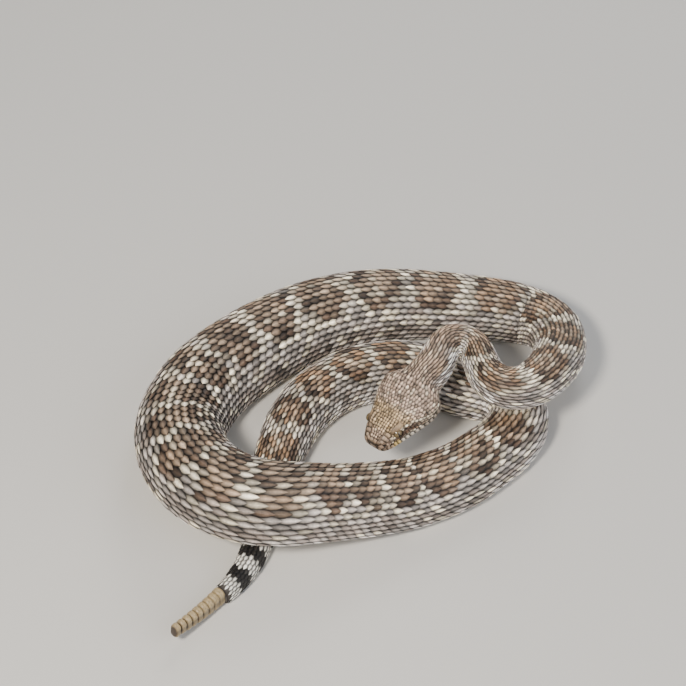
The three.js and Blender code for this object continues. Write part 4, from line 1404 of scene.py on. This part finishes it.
class SNAKE_OT_rattle(bpy.types.Operator):
    """Threads the loose rings of the rattle along its line"""
    bl_idname = "snake.rattle"
    bl_label = "Rattle"

    def execute(self, context):
        snake, sizes = the_snake(), context.scene.snake_sizes
        material = rattle_material(context.scene.snake_colours)
        ring = ring_mesh(sizes)
        carrier = bpy.data.objects.new("rattle_line", bpy.data.meshes.new("rattle_line"))
        context.scene.collection.objects.link(carrier)
        modifier = carrier.modifiers.new("rings", "NODES")
        modifier.node_group = rattle_tree()
        values = {"Rings": sizes.rattle_rings, "Pitch": sizes.ring_pitch, "End share": RING_END,
                  "Rise": RING_RISE, "Ring": ring, "Material": material}
        for socket in modifier.node_group.interface.items_tree:
            if socket.in_out == "INPUT":
                modifier[socket.identifier] = values[socket.name]
        context.view_layer.update()
        mesh = bpy.data.meshes.new_from_object(carrier.evaluated_get(context.evaluated_depsgraph_get()))
        for spare in (carrier, ring):
            bpy.data.objects.remove(spare)
        belly, back, side, up, height = snake.tail_end
        start = (belly + up * (height / 2 + RING_LIFT) + back * JOINT) * MM
        frame_matrix = Matrix(np.vstack([np.stack([back, -side, up, start], 1), (0, 0, 0, 1)]))
        mesh.transform(frame_matrix)
        item = bpy.data.objects.new("rattle_rings", mesh)
        context.scene.collection.objects.link(item)
        mesh.shade_smooth()
        on_body(closed(item), material, ["rattle"])
        return {"FINISHED"}


# The camera stands 50 degrees over the floor and 1.5 m from the place that the photograph's pixel (365, 400)
# shows
CAMERA_ELEVATION = math.radians(50)
CAMERA_DISTANCE = 1.5
AIM_PIXEL = (365, 400)
PHOTO_SIDE = 686
FOCAL_PIXELS = 2550
SENSOR = 36
FLOOR_HALF, FLOOR_DROP = 2500.0, 0.05
# The lamps' places and sizes in metres, watts and colours
LAMPS = {
    "key": ((-0.42, -0.72, 1.08), 0.22, 18.5, "#fff8ee"),
    "fill": ((0.9, -0.6, 0.75), 1.1, 7, "#eef3ff"),
    "rim": ((0.3, 1.1, 0.9), 0.6, 6, "#ffffff"),
}
ROOM_COLOUR, ROOM_STRENGTH = "#e6ebf2", 0.35


class SNAKE_OT_stage(bpy.types.Operator):
    """Sets the floor, the soft lights and the camera at the photograph's viewing angle"""
    bl_idname = "snake.stage"
    bl_label = "Floor, lights and camera"

    def execute(self, context):
        scene = context.scene
        corners = np.array([(-1, -1), (1, -1), (1, 1), (-1, 1)]) * FLOOR_HALF
        floor = mesh_object("floor", np.column_stack([corners, np.full(4, -FLOOR_DROP)]), [0, 1, 2, 3], [4])
        floor.data.materials.append(floor_material(scene.snake_colours))
        world = bpy.data.worlds.new("soft_room")
        world.use_nodes = True
        background = world.node_tree.nodes["Background"].inputs
        background[0].default_value = linear(ROOM_COLOUR)
        background[1].default_value = ROOM_STRENGTH
        scene.world = world
        for name, (place, size, watts, code) in LAMPS.items():
            light = bpy.data.lights.new(name, "AREA")
            light.size = size
            light.energy = watts
            light.color = linear(code)[:3]
            lamp = bpy.data.objects.new(name, light)
            lamp.location = place
            lamp.rotation_mode = "QUATERNION"
            lamp.rotation_quaternion = (-Vector(place)).to_track_quat("-Z", "Y")
            scene.collection.objects.link(lamp)
        aim = -COIL_CENTRE * MM
        down, level = math.sin(CAMERA_ELEVATION), math.cos(CAMERA_ELEVATION)
        camera = bpy.data.objects.new("camera", bpy.data.cameras.new("camera"))
        camera.data.sensor_width = SENSOR
        camera.data.lens = FOCAL_PIXELS / PHOTO_SIDE * SENSOR
        camera.data.shift_x = (PHOTO_SIDE / 2 - AIM_PIXEL[0]) / PHOTO_SIDE
        camera.data.shift_y = (AIM_PIXEL[1] - PHOTO_SIDE / 2) / PHOTO_SIDE
        camera.location = Vector(aim) + CAMERA_DISTANCE * Vector((0, -level, down))
        camera.rotation_euler = (math.pi / 2 - CAMERA_ELEVATION, 0, 0)
        scene.collection.objects.link(camera)
        scene.camera = camera
        return {"FINISHED"}


class SNAKE_PT_parts(bpy.types.Panel):
    """Lists the snake's pieces in the sidebar"""
    bl_label = "Rattlesnake"
    bl_idname = "SNAKE_PT_parts"
    bl_space_type = "VIEW_3D"
    bl_region_type = "UI"
    bl_category = "Rattlesnake"

    def draw(self, context):
        for operator in OPERATORS:
            self.layout.operator(operator.bl_idname)
        for group in (context.scene.snake_sizes, context.scene.snake_colours):
            for key in group.bl_rna.properties.keys():
                if key not in ("rna_type", "name"):
                    self.layout.prop(group, key)


OPERATORS = (SNAKE_OT_skin, SNAKE_OT_crown_scales, SNAKE_OT_back_scales, SNAKE_OT_belly_plates,
             SNAKE_OT_head_plates, SNAKE_OT_eyes, SNAKE_OT_rattle, SNAKE_OT_stage)
CLASSES = (SnakeSizes, SnakeColours, *OPERATORS, SNAKE_PT_parts)


def register():
    for item in CLASSES:
        bpy.utils.register_class(item)
    bpy.types.Scene.snake_sizes = PointerProperty(type=SnakeSizes)
    bpy.types.Scene.snake_colours = PointerProperty(type=SnakeColours)


def unregister():
    del bpy.types.Scene.snake_colours
    del bpy.types.Scene.snake_sizes
    for item in reversed(CLASSES):
        bpy.utils.unregister_class(item)


def main():
    register()
    bpy.ops.snake.skin()
    bpy.ops.snake.crown_scales()
    bpy.ops.snake.back_scales()
    bpy.ops.snake.belly_plates()
    bpy.ops.snake.head_plates()
    bpy.ops.snake.eyes()
    bpy.ops.snake.rattle()
    bpy.ops.snake.stage()


if __name__ == "__main__":
    main()
